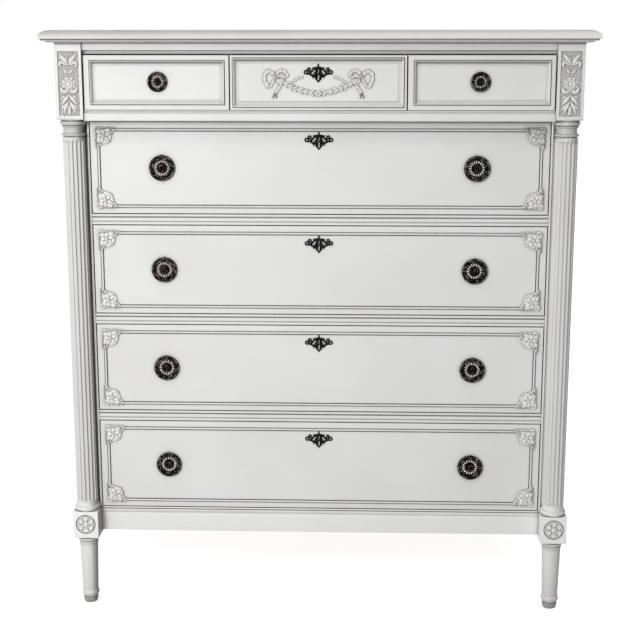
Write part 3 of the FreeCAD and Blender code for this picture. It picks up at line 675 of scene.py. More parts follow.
def flute_ring(x, y, z, past_end, turn):
    """Ring of the shaft. past_end is how far the ring lies beyond the flutes' straight length."""
    left = FLUTE_R ** 2 - min(past_end, FLUTE_TIP) ** 2
    cosine = (COLUMN_R ** 2 + FLUTE_REACH ** 2 - left) / (2 * COLUMN_R * FLUTE_REACH)
    half = math.acos(min(1, cosine))
    ring = []
    for i in range(FLUTES):
        middle = 2 * math.pi * (i + turn) / FLUTES - math.pi / 2
        for angle, cut in flute_angles(half):
            r = COLUMN_R
            if cut and half > 0.01:
                room = left - (FLUTE_REACH * math.sin(angle)) ** 2
                r = min(FLUTE_REACH * math.cos(angle) - math.sqrt(max(room, 0)), COLUMN_R - EDGE_DIP)
            ring.append((x + r * math.cos(middle + angle), y + r * math.sin(middle + angle), z))
    return ring


def plain_rings(x, y, profile, turn):
    """Rings on circles, with as many points as flute_ring()."""
    count = FLUTES * len(flute_angles(0))
    start = turn * count / FLUTES - count / 4 - count / FLUTES / 2 + 1
    return [[(x + r * c, y + r * s, z) for c, s in circle(count, start)] for r, z in profile]


def build_column(shape, x, y, turn):
    """Torus, shaft, astragal, neck and echinus between the post's two blocks."""
    rise = [math.radians(degrees) for degrees in range(30, 180, 20)]
    foot = [(24, -0.6), (24.2, 0.3)] + [(24 + 2 * math.sin(a), 5 - 5 * math.cos(a)) for a in rise]
    foot += [(23.2, 10.2), (23, 11.4), (22.4, 13.2), (21.9, 15.2), (COLUMN_R, 17.6)]
    rings = plain_rings(x, y, lifted(COLUMN_Z, foot), turn)
    low = COLUMN_Z + 21 + FLUTE_R
    high = TOP_BLOCK_Z - 40 - FLUTE_R
    ends = [FLUTE_TIP * math.sin(math.radians(a)) for a in range(0, 91, 15)]
    rings += [flute_ring(x, y, low - e, e, turn) for e in reversed(ends)]
    rings += [flute_ring(x, y, high + e, e, turn) for e in ends]
    astragal = [(COLUMN_R, -36), (20.2, -33.4), (19.6, -31.8), (22.4, -31.4), (23.4, -30.2), (23.6, -29.1),
                (23.4, -28), (22.4, -27.2)]
    neck = [(19.8, -26.9), (19.3, -25.4), (19.1, -20), (19.4, -16), (20, -14.8)]
    echinus = [(22.2, -14.5), (22.6, -13.6), (22.3, -12.6), (20.4, -12.3), (20.4, -11.2), (22.4, -10.8),
               (24, -8.8), (25, -6.8), (25.4, -5), (25.2, -4), (23, -3.6), (22.8, -1.8), (24.4, -1.6),
               (24.4, 0.6)]
    rings += plain_rings(x, y, lifted(TOP_BLOCK_Z, astragal + neck + echinus), turn)
    shape.loft(rings)


def leg_profile():
    """Foot, torus, tapered shaft, two fine rings, and a collar under the block."""
    foot = [(12.8, 0), (13.6, 0.6), (14.6, 4), (15.2, 8), (15.3, 10.4), (14.9, 11.8), (14, 12.2),
            (13.9, 13.6), (15, 14.2), (16.4, 16.4), (17.5, 18.6), (17.9, 21), (17.7, 23.2), (16.8, 25.2),
            (16, 26), (15.7, 26.6)]
    rings = []
    for middle, r in ((-15.2, 19.7), (-11, 20.3)):
        rings += [(r - 1.6, middle - 2.4), (r - 1.6, middle - 1.7), (r - 0.4, middle - 1.3), (r, middle),
                  (r - 0.4, middle + 1.2)]
    collar = [(19, -9.5), (19, -8.8), (21.2, -8.5), (22, -7.4), (22.8, -5.8), (23.2, -4.2), (22.8, -3.3),
              (19.4, -3.1), (19.4, 0.6)]
    return foot + [(16.2, 33), (17.4, 76)] + lifted(BLOCK_LOW, [(18.8, -20.4)] + rings + collar)


def block_ring(x, z, half_x, half_z, y, square=True):
    """Rectangle, or else an oval, with its points at the same bearings."""
    ring = []
    for c, s in circle(96, -12):
        k = 1 / max(abs(c), abs(s)) if square else 1
        ring.append((x + half_x * c * k, y, z + half_z * s * k))
    return ring


ROSETTE_Z = COLUMN_Z - 27


def build_rosette_block(shape, x):
    """Lower block, with a round groove cut in its face. The rosette itself is carved apart."""
    half_z = (COLUMN_Z - BLOCK_LOW) / 2
    face = POST.y0
    sides = [(0.9, POST.y1), (0.2, POST.y1 - 0.25), (0, POST.y1 - 0.9), (0, face + 0.9),
             (0.25, face + 0.25), (0.9, face), (1.6, face)]
    groove = [(21.4, 0), (20.8, 0), (20.4, 0.4), (20.3, 2.4), (19.1, 2.4), (18.9, 0.5), (18.4, 0.2),
              (17.2, 0.9), (8, 1.3), (2, 1.3)]
    rings = [block_ring(x, BLOCK_Z, POST_HALF - i, half_z - i, y) for i, y in sides]
    rings += [block_ring(x, ROSETTE_Z, r, r, face + depth, False) for r, depth in groove]
    shape.loft(rings)


PANEL_HALF = POST_HALF - 6
PANEL_SINK = 2.2
PANEL_LOW = TOP_BLOCK_Z + 8
PANEL_HIGH = CASE_TOP - 16.5


def build_top_block(shape, x):
    """Upper block, down to the edge of its sunk panel."""
    deep = POST.y1 - POST.y0
    outer = [(0.9, deep), (0.2, deep - 0.3), (0, deep - 0.9), (0, 0.9), (0.25, 0.25), (0.9, 0), (1.5, 0)]
    inner = [(-0.5, 0), (0, 0.4), (0.3, PANEL_SINK)]
    rings = []
    stages = ((POST_HALF, TOP_BLOCK_Z, CASE_TOP, outer), (PANEL_HALF, PANEL_LOW, PANEL_HIGH, inner))
    for half, low, high, steps in stages:
        rings += [rect_ring(x - half + i, x + half - i, low + i, high - i, POST.y0 + d) for i, d in steps]
    shape.loft(rings)


def build_stippled_ground(shape, x):
    """Tooled ground of the sunk panel, laid on the panel's floor."""
    edge = PANEL_HALF - 0.3
    low = PANEL_LOW + 0.3
    high = PANEL_HIGH - 0.3
    pitch = 0.9
    floor = POST.y0 + PANEL_SINK
    across = int(2 * edge / pitch)
    up = int((high - low) / pitch)
    rows = []
    for j in range(up + 1):
        v = low + (high - low) * j / up
        row = []
        for i in range(across + 1):
            u = -edge + 2 * edge * i / across
            lumps = 1.3 * noise.noise(Vector((u * 0.42, v * 0.42, x)))
            row.append((x + u, floor - (0.5 + lumps + 0.5 * noise.noise(Vector((u, v, x)))), v))
        rows.append(row)
    shape.relief(rows, floor + 0.3)


BUDS = (2, 3.8, 1.4)            # heights of small leaves
POST_LEAVES = (
    # Lyre: a tall leaf, a leaf that curls down and two small inner ones.
    (((1.4, 35), (5.4, 42.5), (10.8, 49.5), (16.6, 55.6)), (1.2, 3.4, 4.6, 3.6, 0.7),
     (2.2, 4, 4.6, 3.8, 1.6), 12),
    (((1.6, 35.6), (7, 37.4), (12.6, 40.4), (16.4, 38), (15.4, 33.4), (12, 32.8)),
     (1.2, 2.8, 3.4, 3.2, 2.8, 1.6), (2.2, 3.6, 4.2, 4.6, 4.6, 3.4), 16),
    (((0.9, 40), (3.6, 45.4), (4.6, 52.6)), (0.8, 2.5, 0.5), BUDS, 8),
    (((0.8, 19.4), (5, 22.6), (9.2, 28.6)), (1, 3.2, 0.5), BUDS, 8),
    # Curled pair under the flower.
    (((0.4, -11.6), (5.2, -15.6), (11, -15.4), (14.6, -11), (15.6, -6)), (1.2, 3, 4, 3.4, 0.9),
     (2.4, 4.2, 5, 4.4, 2), 14),
    # Upper tier.
    (((0.6, -22), (4.4, -27), (9.4, -32.4), (14.4, -40.6)), (1, 3, 4.4, 3.6, 0.7),
     (2.2, 4, 4.8, 4, 1.6), 12),
    (((6.6, -25.4), (11.2, -25.4), (16.8, -30.6)), (1, 2.9, 0.5), BUDS, 9),
    # Lower tier.
    (((0.8, -34), (4.6, -40), (8.2, -47), (11.6, -57.4)), (1, 3, 4.3, 3.4, 0.9), (2.2, 4, 4.8, 4, 1.8), 12),
    (((6.4, -40.6), (11.2, -43.6), (16.8, -51.4)), (1, 3.3, 0.6), (2.2, 4.2, 1.6), 9),
    (((8.8, -37.6), (12.6, -36.4), (17, -39.6)), (0.9, 2.2, 0.5), (2, 3.4, 1.4), 8),
)
POST_STEMS = (
    (((0, 12), (0.4, 26), (-0.2, 45)), (1, 0.9, 0.8), (2, 2, 1.6), 12),
    (((0, -14), (-0.3, -24), (0, -36)), (1.2, 0.9, 0.8), (2.4, 2, 2), 12),
    (((0, -40), (0, -48), (0, -59)), (1, 3.6, 3), (2.6, 4.6, 3), 9),
)


def carve_post_panel(shape, x):
    """Lyre of leaves, ringed flower on its petals, curled pair and two leafy tiers."""
    middle = (PANEL_LOW + PANEL_HIGH) / 2
    face = POST.y0 + PANEL_SINK
    for sx in (1, -1):
        strokes(shape, on_front(x, middle, face, sx), POST_LEAVES)
    place = on_front(x, middle, face)
    strokes(shape, place, POST_STEMS)
    bead(shape, place, 0, 48.4, 2.3, 3.2, 12)
    for i in range(8):
        petal = turned(place, 0, -1, 22.5 + 45 * i)
        stroke(shape, petal, ((6, 0), (9.6, 0), (13.4, 0)), (3, 4.4, 3.4), (1.6, 2.6, 1.6), CUPPED, 8)
    ring = [(9.2, -SINK), (9.2, 2.2), (8.8, 3.4), (7.8, 4.2), (6.8, 3.8), (6, 2.4), (5.5, 1.7), (4, 1.7),
            (3.6, 2.8), (2.8, 3.9), (1.2, 4.3), (0.2, 4.3)]
    boss(shape, place, 0, -1, ring, 28)


def carve_rosette(shape, x):
    """Six cupped petals with small beads between them, round a ringed eye, inside the block's groove."""
    place = on_front(x, ROSETTE_Z, POST.y0 + 1.3)
    petal = [(5.1, -SINK), (5.1, 1.8), (4.7, 3), (4, 3.3), (3.3, 2.8), (2.5, 0.8), (1.2, 0.2), (0.2, 0.2)]
    for i in range(6):
        boss(shape, turned(place, 0, 0, 90 + 60 * i), 12.2, 0, petal)
        bead(shape, turned(place, 0, 0, 120 + 60 * i), 16, 0, 1.4, 2.4, 8)
    eye = [(7.4, -SINK), (7.4, 1.9), (6.9, 2.8), (6.1, 2.7), (5.6, 0.7), (4.3, 0.7), (3.9, 2.6), (3, 3.5),
           (1.6, 3.9), (0.2, 4)]
    boss(shape, place, 0, 0, eye, 24)


def build_posts():
    for side, sx, turn, finish in (("right", 1, 0, PAINT_POST), ("left", -1, 0.5, PAINT_POST_LEFT)):
        x = sx * POST_AXIS_X
        node = "front_post_" + side
        post = Shape()
        build_top_block(post, x)
        build_column(post, x, POST_AXIS_Y, turn)
        build_rosette_block(post, x)
        post.loft([[(x + r * c, POST_AXIS_Y + r * s, z) for c, s in circle(72)] for r, z in leg_profile()])
        piece("fluted_post_" + side, post, finish, "case", node)
        ground = Shape()
        build_stippled_ground(ground, x)
        piece("stippled_ground_" + side, ground, PAINT_STIPPLED, "case", node, flat=False)
        carving = Shape()
        carve_post_panel(carving, x)
        carved("post_carving_" + side, carving, PAINT_CARVED, "case", node)
        rosette = Shape()
        carve_rosette(rosette, x)
        carved("post_rosette_" + side, rosette, PAINT_CARVING_HIGHLIT, "case", node)


# ---------------------------------------------------------------- front frame
def build_rail(node, face_y, levels, low, high, half, finish):
    """Moulding across the front. Its profile is counted from its lower edge and then from its upper one."""
    shape = Shape()
    for z0, z1 in levels:
        bar(shape, edge_profile(face_y, z0, low) + edge_profile(face_y, z1, high), half)
    piece(node + "_moulded", shape, finish, "case", node)


def build_rails():
    # Flat face between a quirk at its top and a deep cove over the drawers.
    low = ((30, 0.4), (8, 0.4, 0.4), (8.6, 2, 1), (9.4, 4.4, 1.4), (9, 6.6, 0.8), (2, 7.2, 0.4),
           (-0.2, 7.3, 0.3), (-0.2, 9.4, 0.6), (0, 10, 0.4))
    high = ((0, -1.6, 0.5), (4, -1.4, 0.3), (4, 0), (30, 0))
    build_rail("top_rail", FRIEZE_FACE, [(TOP_RAIL.z0, TOP_RAIL.z1)], low, high, POST.x0, PAINT_RAIL_SHADED)
    # Narrow lip under the drawers, a shallow hollow, then a flat face.
    low = ((86, 0), (1.4, 0, 0.5), (0, 2.2, 1))
    high = ((-0.2, -6.4, 0.6), (1.8, -5.8, 0.5), (2.4, -4.4, 0.8), (2.2, -2.8, 0.5), (0.6, -1.8, 0.4),
            (0.4, -0.5, 0.3), (1, 0, 0.3), (86, 0))
    levels = [(FRIEZE_RAIL.z0 + 1.2, FRIEZE_RAIL.z1 - 1.2)]
    build_rail("frieze_rail", FRIEZE_FACE, levels, low, high, POST.x0, PAINT_X)
    # Rails between the large drawers: two flat strips with a rounded band between grooves.
    low = ((60, 0), (0, 0, 0.7), (0, 5, 0.7), (1.3, 5.3, 0.3), (1.3, 6.5, 0.3), (-0.1, 7.5, 1.2))
    high = ((-0.3, -7.3, 1.6), (3, -7.1, 0.3), (3, -4.7, 0.3), (0, -4.5, 0.7), (0, 0, 0.7), (60, 0))
    pairs = zip(LARGE_NAMES, LARGE_NAMES[1:])
    levels = [(LARGE[below].z1 + FRONT_GAP, LARGE[above].z0 - FRONT_GAP) for above, below in pairs]
    build_rail("drawer_rails", LOWER_FACE, levels, low, high, OPENING_HALF, PAINT_X)
    # Strip, groove, rubbed band and cove along the top of a plain board.
    low = ((20, 0), (0, 0, 1.2))
    high = ((0, -16.2, 1.4), (1.6, -14.8, 0.6), (1.9, -12.4, 1), (0.4, -10.4, 0.8), (-0.2, -8, 1.6),
            (0.4, -5, 0.6), (2.2, -4.7, 0.3), (2.2, -3.3, 0.3), (0, -3, 0.6), (0, 0, 0.7), (20, 0))
    build_rail("apron", LOWER_FACE, [(APRON.z0 - 2.5, APRON.z1)], low, high, POST.x0, PAINT_APRON)


def build_stiles():
    """Board in the crevice behind each column, and the rounded strip beside the drawers.

    The board is deeper behind the column. The left board is painted near black, a painted shadow cast by the
    column, and the right board light grey.
    """
    strip_x0 = OPENING_HALF + 0.5
    strip_x1 = OPENING_HALF + 4.8
    board_x = strip_x1 - 0.5
    step_x = POST_AXIS_X - 14.6
    back = STILE.y1
    shallow = LOWER_FACE + 2.5
    heights = (COLUMN_Z, FRIEZE_RAIL.z0)
    bead = [(strip_x0, LOWER_FACE, 1), (strip_x1, LOWER_FACE, 1.4), (strip_x1, back), (strip_x0, back)]
    section = rounded(bead, 0.3)
    deep_part = [(board_x, STILE_FACE), (STILE.x1, STILE_FACE), (STILE.x1, back), (board_x, back)]
    shallow_part = [(board_x, shallow), (step_x, shallow), (step_x, STILE_FACE), (board_x, STILE_FACE)]
    strip = Shape()
    for side, sx, board_paint in (("left", -1, PAINT_NICHE_SHADOW), ("right", 1, PAINT_NICHE)):
        board = Shape()
        parts = ((strip, section, heights), (board, deep_part, heights),
                 (board, shallow_part, (COLUMN_Z + 13, TOP_BLOCK_Z - 38)))
        for shape, outline, levels in parts:
            shape.loft([[(sx * x, y, z) for x, y in outline] for z in levels])
        piece("niche_board_" + side, board, board_paint, "case", "front_stiles")
    piece("edge_strips", strip, PAINT_STRIP_LIT, "case", "front_stiles")


# ---------------------------------------------------------------- drawers
CORNER_INSET = 9.6
CORNER_SIZE = 1.04
CORNER_RISE = 2.4               # how far a corner's slab lifts its carving off the face
LARGE_EXTRAS = (1.5, 1.5)       # mouldings lie this much further in at a drawer's two ends
SMALL_EXTRAS = {"small_left": (1.5, -1.8), "small_centre": (0, 0), "small_right": (1.5, -0.9)}


def build_large_front(name):
    """Board with eased edges and a bead between two quirks round its field."""
    b = LARGE[name]
    eased = [(0, FRONT_THICK), (0, 1), (0.3, 0.3), (1, 0), (11.2, 0)]
    quirked_bead = [(11.5, 1.1), (12.6, 1.2), (12.9, -1), (13.3, -1.9), (14, -2.4), (14.7, -2.5),
                    (15.4, -2.4), (16.1, -1.9), (16.5, -1), (16.8, 2.4), (18, 2.3), (18.4, 0)]
    shape = Shape()
    nest(shape, b.x0, b.x1, b.z0, b.z1, LOWER_FACE, eased + quirked_bead, LARGE_EXTRAS, 0.7)
    piece(name + "_board", shape, PAINT_FIRST_SHADOWED if name == "large_1" else PAINT_X, name, name + "_front")


def build_corners(name):
    """The four carved corners of a large drawer."""
    b = LARGE[name]
    n = CORNER_INSET
    shape = Shape()
    for x, sx in ((b.x0 + n, 1), (b.x1 - n, -1)):
        for z, sz in ((b.z0 + n, 1), (b.z1 - n, -1)):
            straight, swapped = (enlarged(on_front(x, z, LOWER_FACE - CORNER_RISE, sx, sz, swap), CORNER_SIZE)
                                 for swap in (False, True))
            carve_corner(shape, straight)
            carve_half_corner(shape, straight)
            carve_half_corner(shape, swapped)
    finish = PAINT_FIRST_CARVING_SHADOWED if name == "large_1" else PAINT_CARVING_HIGHLIT
    carved(name + "_corners", shape, finish, name, name + "_front")


def carve_corner(shape, place):
    """What sits on a corner's diagonal: slab, lobed framing band, flower and corner curl."""
    half = [(1.5, 1.5), (10, 1), (24, 1.4), (40, 2), (40, 5.4), (35.6, 8.6), (32.2, 12.8), (30, 17),
            (30.4, 20.6), (27.2, 25)]
    outline = half + [(v, u) for u, v in reversed(half[1:])]
    shape.loft([[place(u, v, h) for u, v in outline] for h in (-SINK - CORNER_RISE, 0.6)])
    band = [(42.4, 3.2), (39, 4.6), (36, 7.8), (32.8, 12), (30.6, 16.6), (31.2, 20.4), (28.2, 25)]
    band += [(v, u) for u, v in reversed(band)]
    widths = (0.7, 1, 1.2, 1.1, 1.3, 1.1, 1.2, 1, 0.7)
    stroke(shape, place, band, widths, (1.4, 2.2, 2.4, 2.2, 2.6, 2.2, 2.4, 2.2, 1.4), ROUND, 48)
    curl = ((1.8, 10.4), (1.2, 5), (4, 1.4), (8.6, 1.6), (9.8, 5), (7, 7))
    stroke(shape, place, curl, (1.1, 1.7, 1.8, 1.6, 1.4, 1), (2.8, 4.2, 4.4, 4.2, 4, 3.4), ROUND, 18)
    flower(shape, place, 17, 17, 11.4, 4.6, 5, 45)
    bead(shape, place, 5, 5.2, 1.6, 4.4)
    bead(shape, place, 27.4, 27.4, 1.9, 4.4)


def carve_half_corner(shape, place):
    """Leaves between a corner's lower edge and its diagonal, each with room round it."""
    leaves = (
        (((11, 4.6), (15.6, 2.6), (21.6, 4)), 2.2),
        (((20.6, 3.4), (26.4, 2), (32.4, 4.6)), 2.3),
        (((31, 3), (35.4, 2.4), (40.2, 3.6)), 1.7),
        (((27.4, 8.6), (30.8, 7.4), (35.2, 6.6)), 2),
        (((29.4, 13.4), (30.4, 12), (32.4, 11)), 1.5),
    )
    for path, half_width in leaves:
        stroke(shape, place, path, (0.6, half_width, 0.4), (2.6, 4.2, 2.4), LEAF, 8)


# Steps in from the edge of a small drawer: flat rim, quirk, raised fillet, steep cove, then the sunk field.
SIDE_FRONT_STEPS = [(0.6, FRONT_THICK), (0.6, 1.4), (0.9, 0.4), (1.6, 0), (9.7, 0), (10.1, 1.5), (11, 1.5),
                    (11.3, -1.2), (11.7, -1.8), (12.4, -1.9), (12.9, -1.5), (13.8, -0.2), (14.8, 1.8),
                    (15.6, 3.3), (16.4, 4.4), (17.3, 4.9), (18.3, 4.8), (19.4, 4.3), (20.6, 3.8),
                    (21.6, FIELD_DEPTH)]
CENTRE_FRONT_STEPS = [(0.6, FRONT_THICK), (0.6, 1.2), (0.9, 0.4), (1.5, 0), (4.8, 0), (5.2, 1.5),
                      (6.1, 1.5), (6.4, -0.6), (6.8, -1.2), (7.6, -1.3), (8.1, -1), (9.2, 0.6),
                      (10.6, 2.8), (11.8, 4.4), (12.9, 5.4), (14, 5.6), (15.2, 5.3), (16.4, 4.6),
                      (17.6, 3.9), (18.7, FIELD_DEPTH)]
ABOVE_SMALL = 0.1               # how far the first ring of a small front is let up and down towards the rails
BELOW_SMALL = 3


def build_small_front(name):
    b = SMALL[name]
    middle = name == "small_centre"
    steps = CENTRE_FRONT_STEPS if middle else SIDE_FRONT_STEPS
    aside = 0.6 if middle else 0
    shape = Shape()
    nest(shape, b.x0 - aside, b.x1 + aside, b.z0 - BELOW_SMALL, b.z1 + ABOVE_SMALL, FRIEZE_FACE, steps,
         SMALL_EXTRAS[name])
    piece(name + "_board", shape, PAINT_FRONT, name, name + "_front")


# ---------------------------------------------------------------- garland
# Half of the bow and its ends, from the middle of the drawer: points, half width, height, folds.
RIBBONS = (
    # Drooping outer loop, and the strip that comes back up inside it.
    (((83.5, 11), (89, 17), (96, 20), (102.4, 16), (104.2, 7.6), (101.6, -1.4), (95.8, -11)), 3.9, 4.4, 5),
    (((96.6, -11.6), (91.6, -6.4), (87.4, 0.4), (85.4, 7), (83.6, 10.4)), 2.9, 3.6, 3),
    # Upright inner loop.
    (((81, 11), (78.6, 17), (72.8, 21.2), (65.8, 20.4), (61, 14.6), (60.6, 9.4)), 3.4, 4.2, 4),
    (((60.4, 9.6), (66, 9), (72.6, 12), (79.6, 10.6)), 2.6, 3.4, 2),
    # Hanging tail.
    (((80.4, 5.6), (75.4, -1.4), (73.4, -6.6), (77.8, -13.4), (83.4, -22.6)), 3.1, 3.8, 4),
    # Short end that rises from the festoon towards the escutcheon.
    (((56.4, -6), (50, 0.4), (42.6, 5.2), (35.6, 8.2), (28.6, 9.2)), 2, 2.8, 4),
)
FESTOON = ((79, 6), (70.5, 1.6), (59.8, -5.2), (51.3, -9.4), (40.6, -13.8), (29.9, -17), (17, -19.8),
           (6.3, -21.4), (0, -21.8))


def ribbon(shape, place, points, half_width, height, folds):
    """Pleated ribbon: it swells and drops again at each fold, and is narrow at both ends."""
    widths = [half_width * k for k in [0.6] + [0.8, 0.9, 1, 1, 0.95] * folds + [0.4]]
    heights = [height * k for k in [0.5] + [0.3, 0.62, 0.82, 0.94, 1] * folds + [0.4]]
    stroke(shape, place, points, widths, heights, RIBBON, 12 * folds)


def carve_bow(shape, place):
    """Pleated loops, a knot of three crossing folds and the tail's split end."""
    for row in RIBBONS:
        ribbon(shape, place, *row)
    for shift in (-3.4, 0, 3.4):
        path = ((84.6 + shift * 0.7, 14.2 - abs(shift) * 0.3), (82.4 + shift, 10),
                (78.8 + shift * 0.8, 5.6))
        stroke(shape, place, path, (1, 1.9, 1), (3, 5.4, 3), ROUND, 8)
    for tip, flare in ((88.4, 1.9), (80.2, 1.7)):
        path = ((83, -20.6), (tip * 0.5 + 41.6, -25.4), (tip, -31.4))
        stroke(shape, place, path, (1.2, flare, 0.8), (2.6, 3.6, 1.8), LEAF, 8)


def carve_festoon_half(shape, place):
    """Swag: a stem under pairs of overlapping leaves, their tips standing out to both sides."""
    widths = (1.6, 2.8, 3, 2.8, 2.8, 2.8, 2.6, 2.4, 2.4)
    stroke(shape, place, FESTOON, widths, (2, 2.4, 2.4, 2.2, 2.2, 2.2, 2, 2, 2), ROUND, 40)
    path = smooth_path(FESTOON, 44)
    for k in range(4, 41, 5):
        u, v = path[k]
        u1, v1 = path[k + 1]
        along = math.degrees(math.atan2(v1 - v, u1 - u))
        long = 9 if k % 2 else 10.5
        for side in (1, -1):
            spot = turned(place, u, v, along + side * 24)
            stroke(shape, spot, ((-2.4, 0), (long * 0.45, side), (long, side * 1.8)), (1, 2.5, 2.1, 0.5),
                   (3.2, 4.4, 3.8, 1.8), ROUND, 8)


def build_garland():
    shape = Shape()
    b = SMALL["small_centre"]
    for sx in (1, -1):
        place = on_front(0, (b.z0 + b.z1) / 2, FIELD_FACE, sx)
        carve_bow(shape, place)
        carve_festoon_half(shape, place)
    carved("garland", shape, PAINT_GARLAND, "small_centre", "small_centre_front")


# ---------------------------------------------------------------- pulls
PULL_X = 311
SMALL_PULL = 0.75
PLATE_RIM = 1.2
RING_R = 23.5
RING_WIRE = 2.4
RING_AIR = 0.7
WIRE_SHARE = 0.86               # the ring's plain wire, as a share of its beads' radius
RING_BEADS = 36
LUG_HALF_ANGLE = 11             # degrees of the ring kept plain on each side of the lug
PLATE_PROFILE = ((24.4, 0), (24.6, 0.4), (24.3, 1), (23.6, PLATE_RIM), (21, PLATE_RIM), (20.6, 1.6),
                 (20.3, 2.9), (19.6, 3.7), (18.8, 3.8), (18.1, 3.3), (17.8, 2.2), (17.2, 1), (16.8, 0.8),
                 (10.6, 0.8), (10, 1.6), (9.4, 1.7), (8.9, 1), (8.2, 1), (7.8, 1.8), (7.5, 3.6), (7, 5.2),
                 (6.1, 6.2), (5, 6.3), (4.2, 5.6), (3.8, 4.4), (3, 3.8), (2.2, 4.2), (1.6, 4.9),
                 (0.9, 5.2), (0.2, 5.2))
ROPE_CIRCLE = 19.1
ROPE_COUNT = 44
BEAD_CIRCLE = 13.1
BEAD_COUNT = 17
SMALL_BEAD_COUNT = 14


def ring_y(face_y, k):
    """Depth of the ring's centre line in front of a face."""
    return face_y - (PLATE_RIM + RING_WIRE) * k - RING_AIR


def build_plate(shape, x, z, face_y, k):
    """Back plate, its lug, its stud and its nut."""
    boss(shape, on_front(x, z, face_y), 0, 0, [(r * k, h * k) for r, h in PLATE_PROFILE], 64)
    build_lug(shape, x, z, face_y, k)
    back = FRONT_THICK + (FRIEZE_FACE if k < 1 else LOWER_FACE)
    for r, length, count in ((2, 7, 16), (4.6, 3.2, 6)):
        eased = [(r - 0.5, -0.2), (r, 0), (r, length - 0.4), (r - 0.5, length)]
        shape.loft([[(x + rr * c, y, z + rr * s) for c, s in circle(count)] for rr, y in lifted(back, eased)])


def build_lug(shape, x, z, face_y, k):
    """Loop that holds the ring, open through its middle."""
    inner = RING_WIRE * k * WIRE_SHARE + 0.16
    outer = inner + 0.55 * k
    half = 2 * k
    y = ring_y(face_y, k)
    top = z + RING_R * k
    section = [(inner, -half), (outer - 0.4, -half), (outer, -half + 0.5), (outer, half - 0.5),
               (outer - 0.4, half), (inner, half)]
    shape.loft([[(x + u, y + r * c, top + r * s) for r, u in section] for c, s in circle(28)], wrap=True)
    shape.soft_box((x - half, y + outer * 0.72, z + 19.4 * k), (x + half, face_y - 0.4, top + k), 0.3)


def build_beads(shape, x, z, face_y, k):
    """Circle of beads, each longer than wide, set like the hours of a dial."""
    count = SMALL_BEAD_COUNT if k < 1 else BEAD_COUNT
    path = [((BEAD_CIRCLE + step) * k, 0) for step in (-2.5, 0, 2.3)]
    widths = [w * k for w in (0.7, 1.15, 1.25, 1.15, 0.7)]
    heights = [h * k for h in (1.2, 2.8, 3.4, 2.8, 1.2)]
    for i in range(count):
        spot = turned(on_front(x, z, face_y - 0.8 * k), 0, 0, 360 * (i + 0.5) / count)
        stroke(shape, spot, path, widths, heights, ROUND, 8)


def build_rope(shape, x, z, face_y, k):
    """Slanting strands over the plate's moulded rim."""
    path = [((ROPE_CIRCLE + 1.1 * step) * k, 0.7 * k * step) for step in (-1, 0, 1)]
    for i in range(ROPE_COUNT):
        spot = turned(on_front(x, z, face_y - 3 * k), 0, 0, 360 * i / ROPE_COUNT)
        stroke(shape, spot, path, (0.4 * k, 0.85 * k, 0.4 * k), (0.7 * k, 1.5 * k, 0.7 * k), ROUND, 4)


def build_ring(shape, x, z, y, k):
    """Round wire of the pull's ring."""
    wire = RING_WIRE * k * WIRE_SHARE
    section = [(RING_R * k + wire * c, y + wire * s) for c, s in circle(12)]
    rings = [[(x + r * c, depth, z + r * s) for r, depth in section] for c, s in circle(96, 24)]
    shape.loft(rings, wrap=True)


def build_ring_beads(shape, x, z, y, k):
    """Beads threaded all round the ring, but for the stretch inside the lug."""
    long = math.pi * RING_R * k / RING_BEADS * 0.88
    for i in range(RING_BEADS):
        a = 360 * i / RING_BEADS
        if min(a, 360 - a) < LUG_HALF_ANGLE:
            continue
        place = turned(on_front(x, z, y), 0, 0, a + 90)
        rings = []
        for b in (math.radians(degrees) for degrees in (-72, -45, -15, 15, 45, 72)):
            r = RING_WIRE * k * max(math.cos(b), 0.5)
            rings.append([place(RING_R * k + r * c, math.sin(b) * long, r * s) for c, s in circle(12)])
        shape.loft(rings)


def dress_pulls(name, plates_node, rings, z, face_y, k):
    """Pulls of a drawer: loose ringed and beaded wires, and plates with beads and roped rims."""
    makers = (("_rosettes", build_plate, BRASS), ("_rosette_beads", build_beads, BEADS_SHINING),
              ("_rosette_ropes", build_rope, RUBBED_GLINTING))
    for node, x in rings:
        for suffix, build, finish in (("_wire", build_ring, BRASS), ("_beads", build_ring_beads, WORN_GLINTING)):
            shape = Shape()
            build(shape, x, z, ring_y(face_y, k), k)
            carved(node + suffix, shape, finish, node, node)
    for suffix, build, finish in makers:
        shape = Shape()
        for node, x in rings:
            build(shape, x, z, face_y, k)
        flat = build is build_plate
        piece(name + suffix, shape, finish, name, plates_node, 40 if flat else 60, flat)


def build_large_pulls(name):
    b = LARGE[name]
    rings = ((name + "_ring_left", -PULL_X), (name + "_ring_right", PULL_X))
    dress_pulls(name, name + "_pull_plates", rings, (b.z0 + b.z1) / 2, LOWER_FACE, 1)


def build_small_pull(name, x):
    z = (SMALL_FLOOR + SMALL[name].z1 + FRONT_GAP) / 2
    dress_pulls(name, name + "_pull_plate", ((name + "_ring", x),), z, FIELD_FACE, SMALL_PULL)


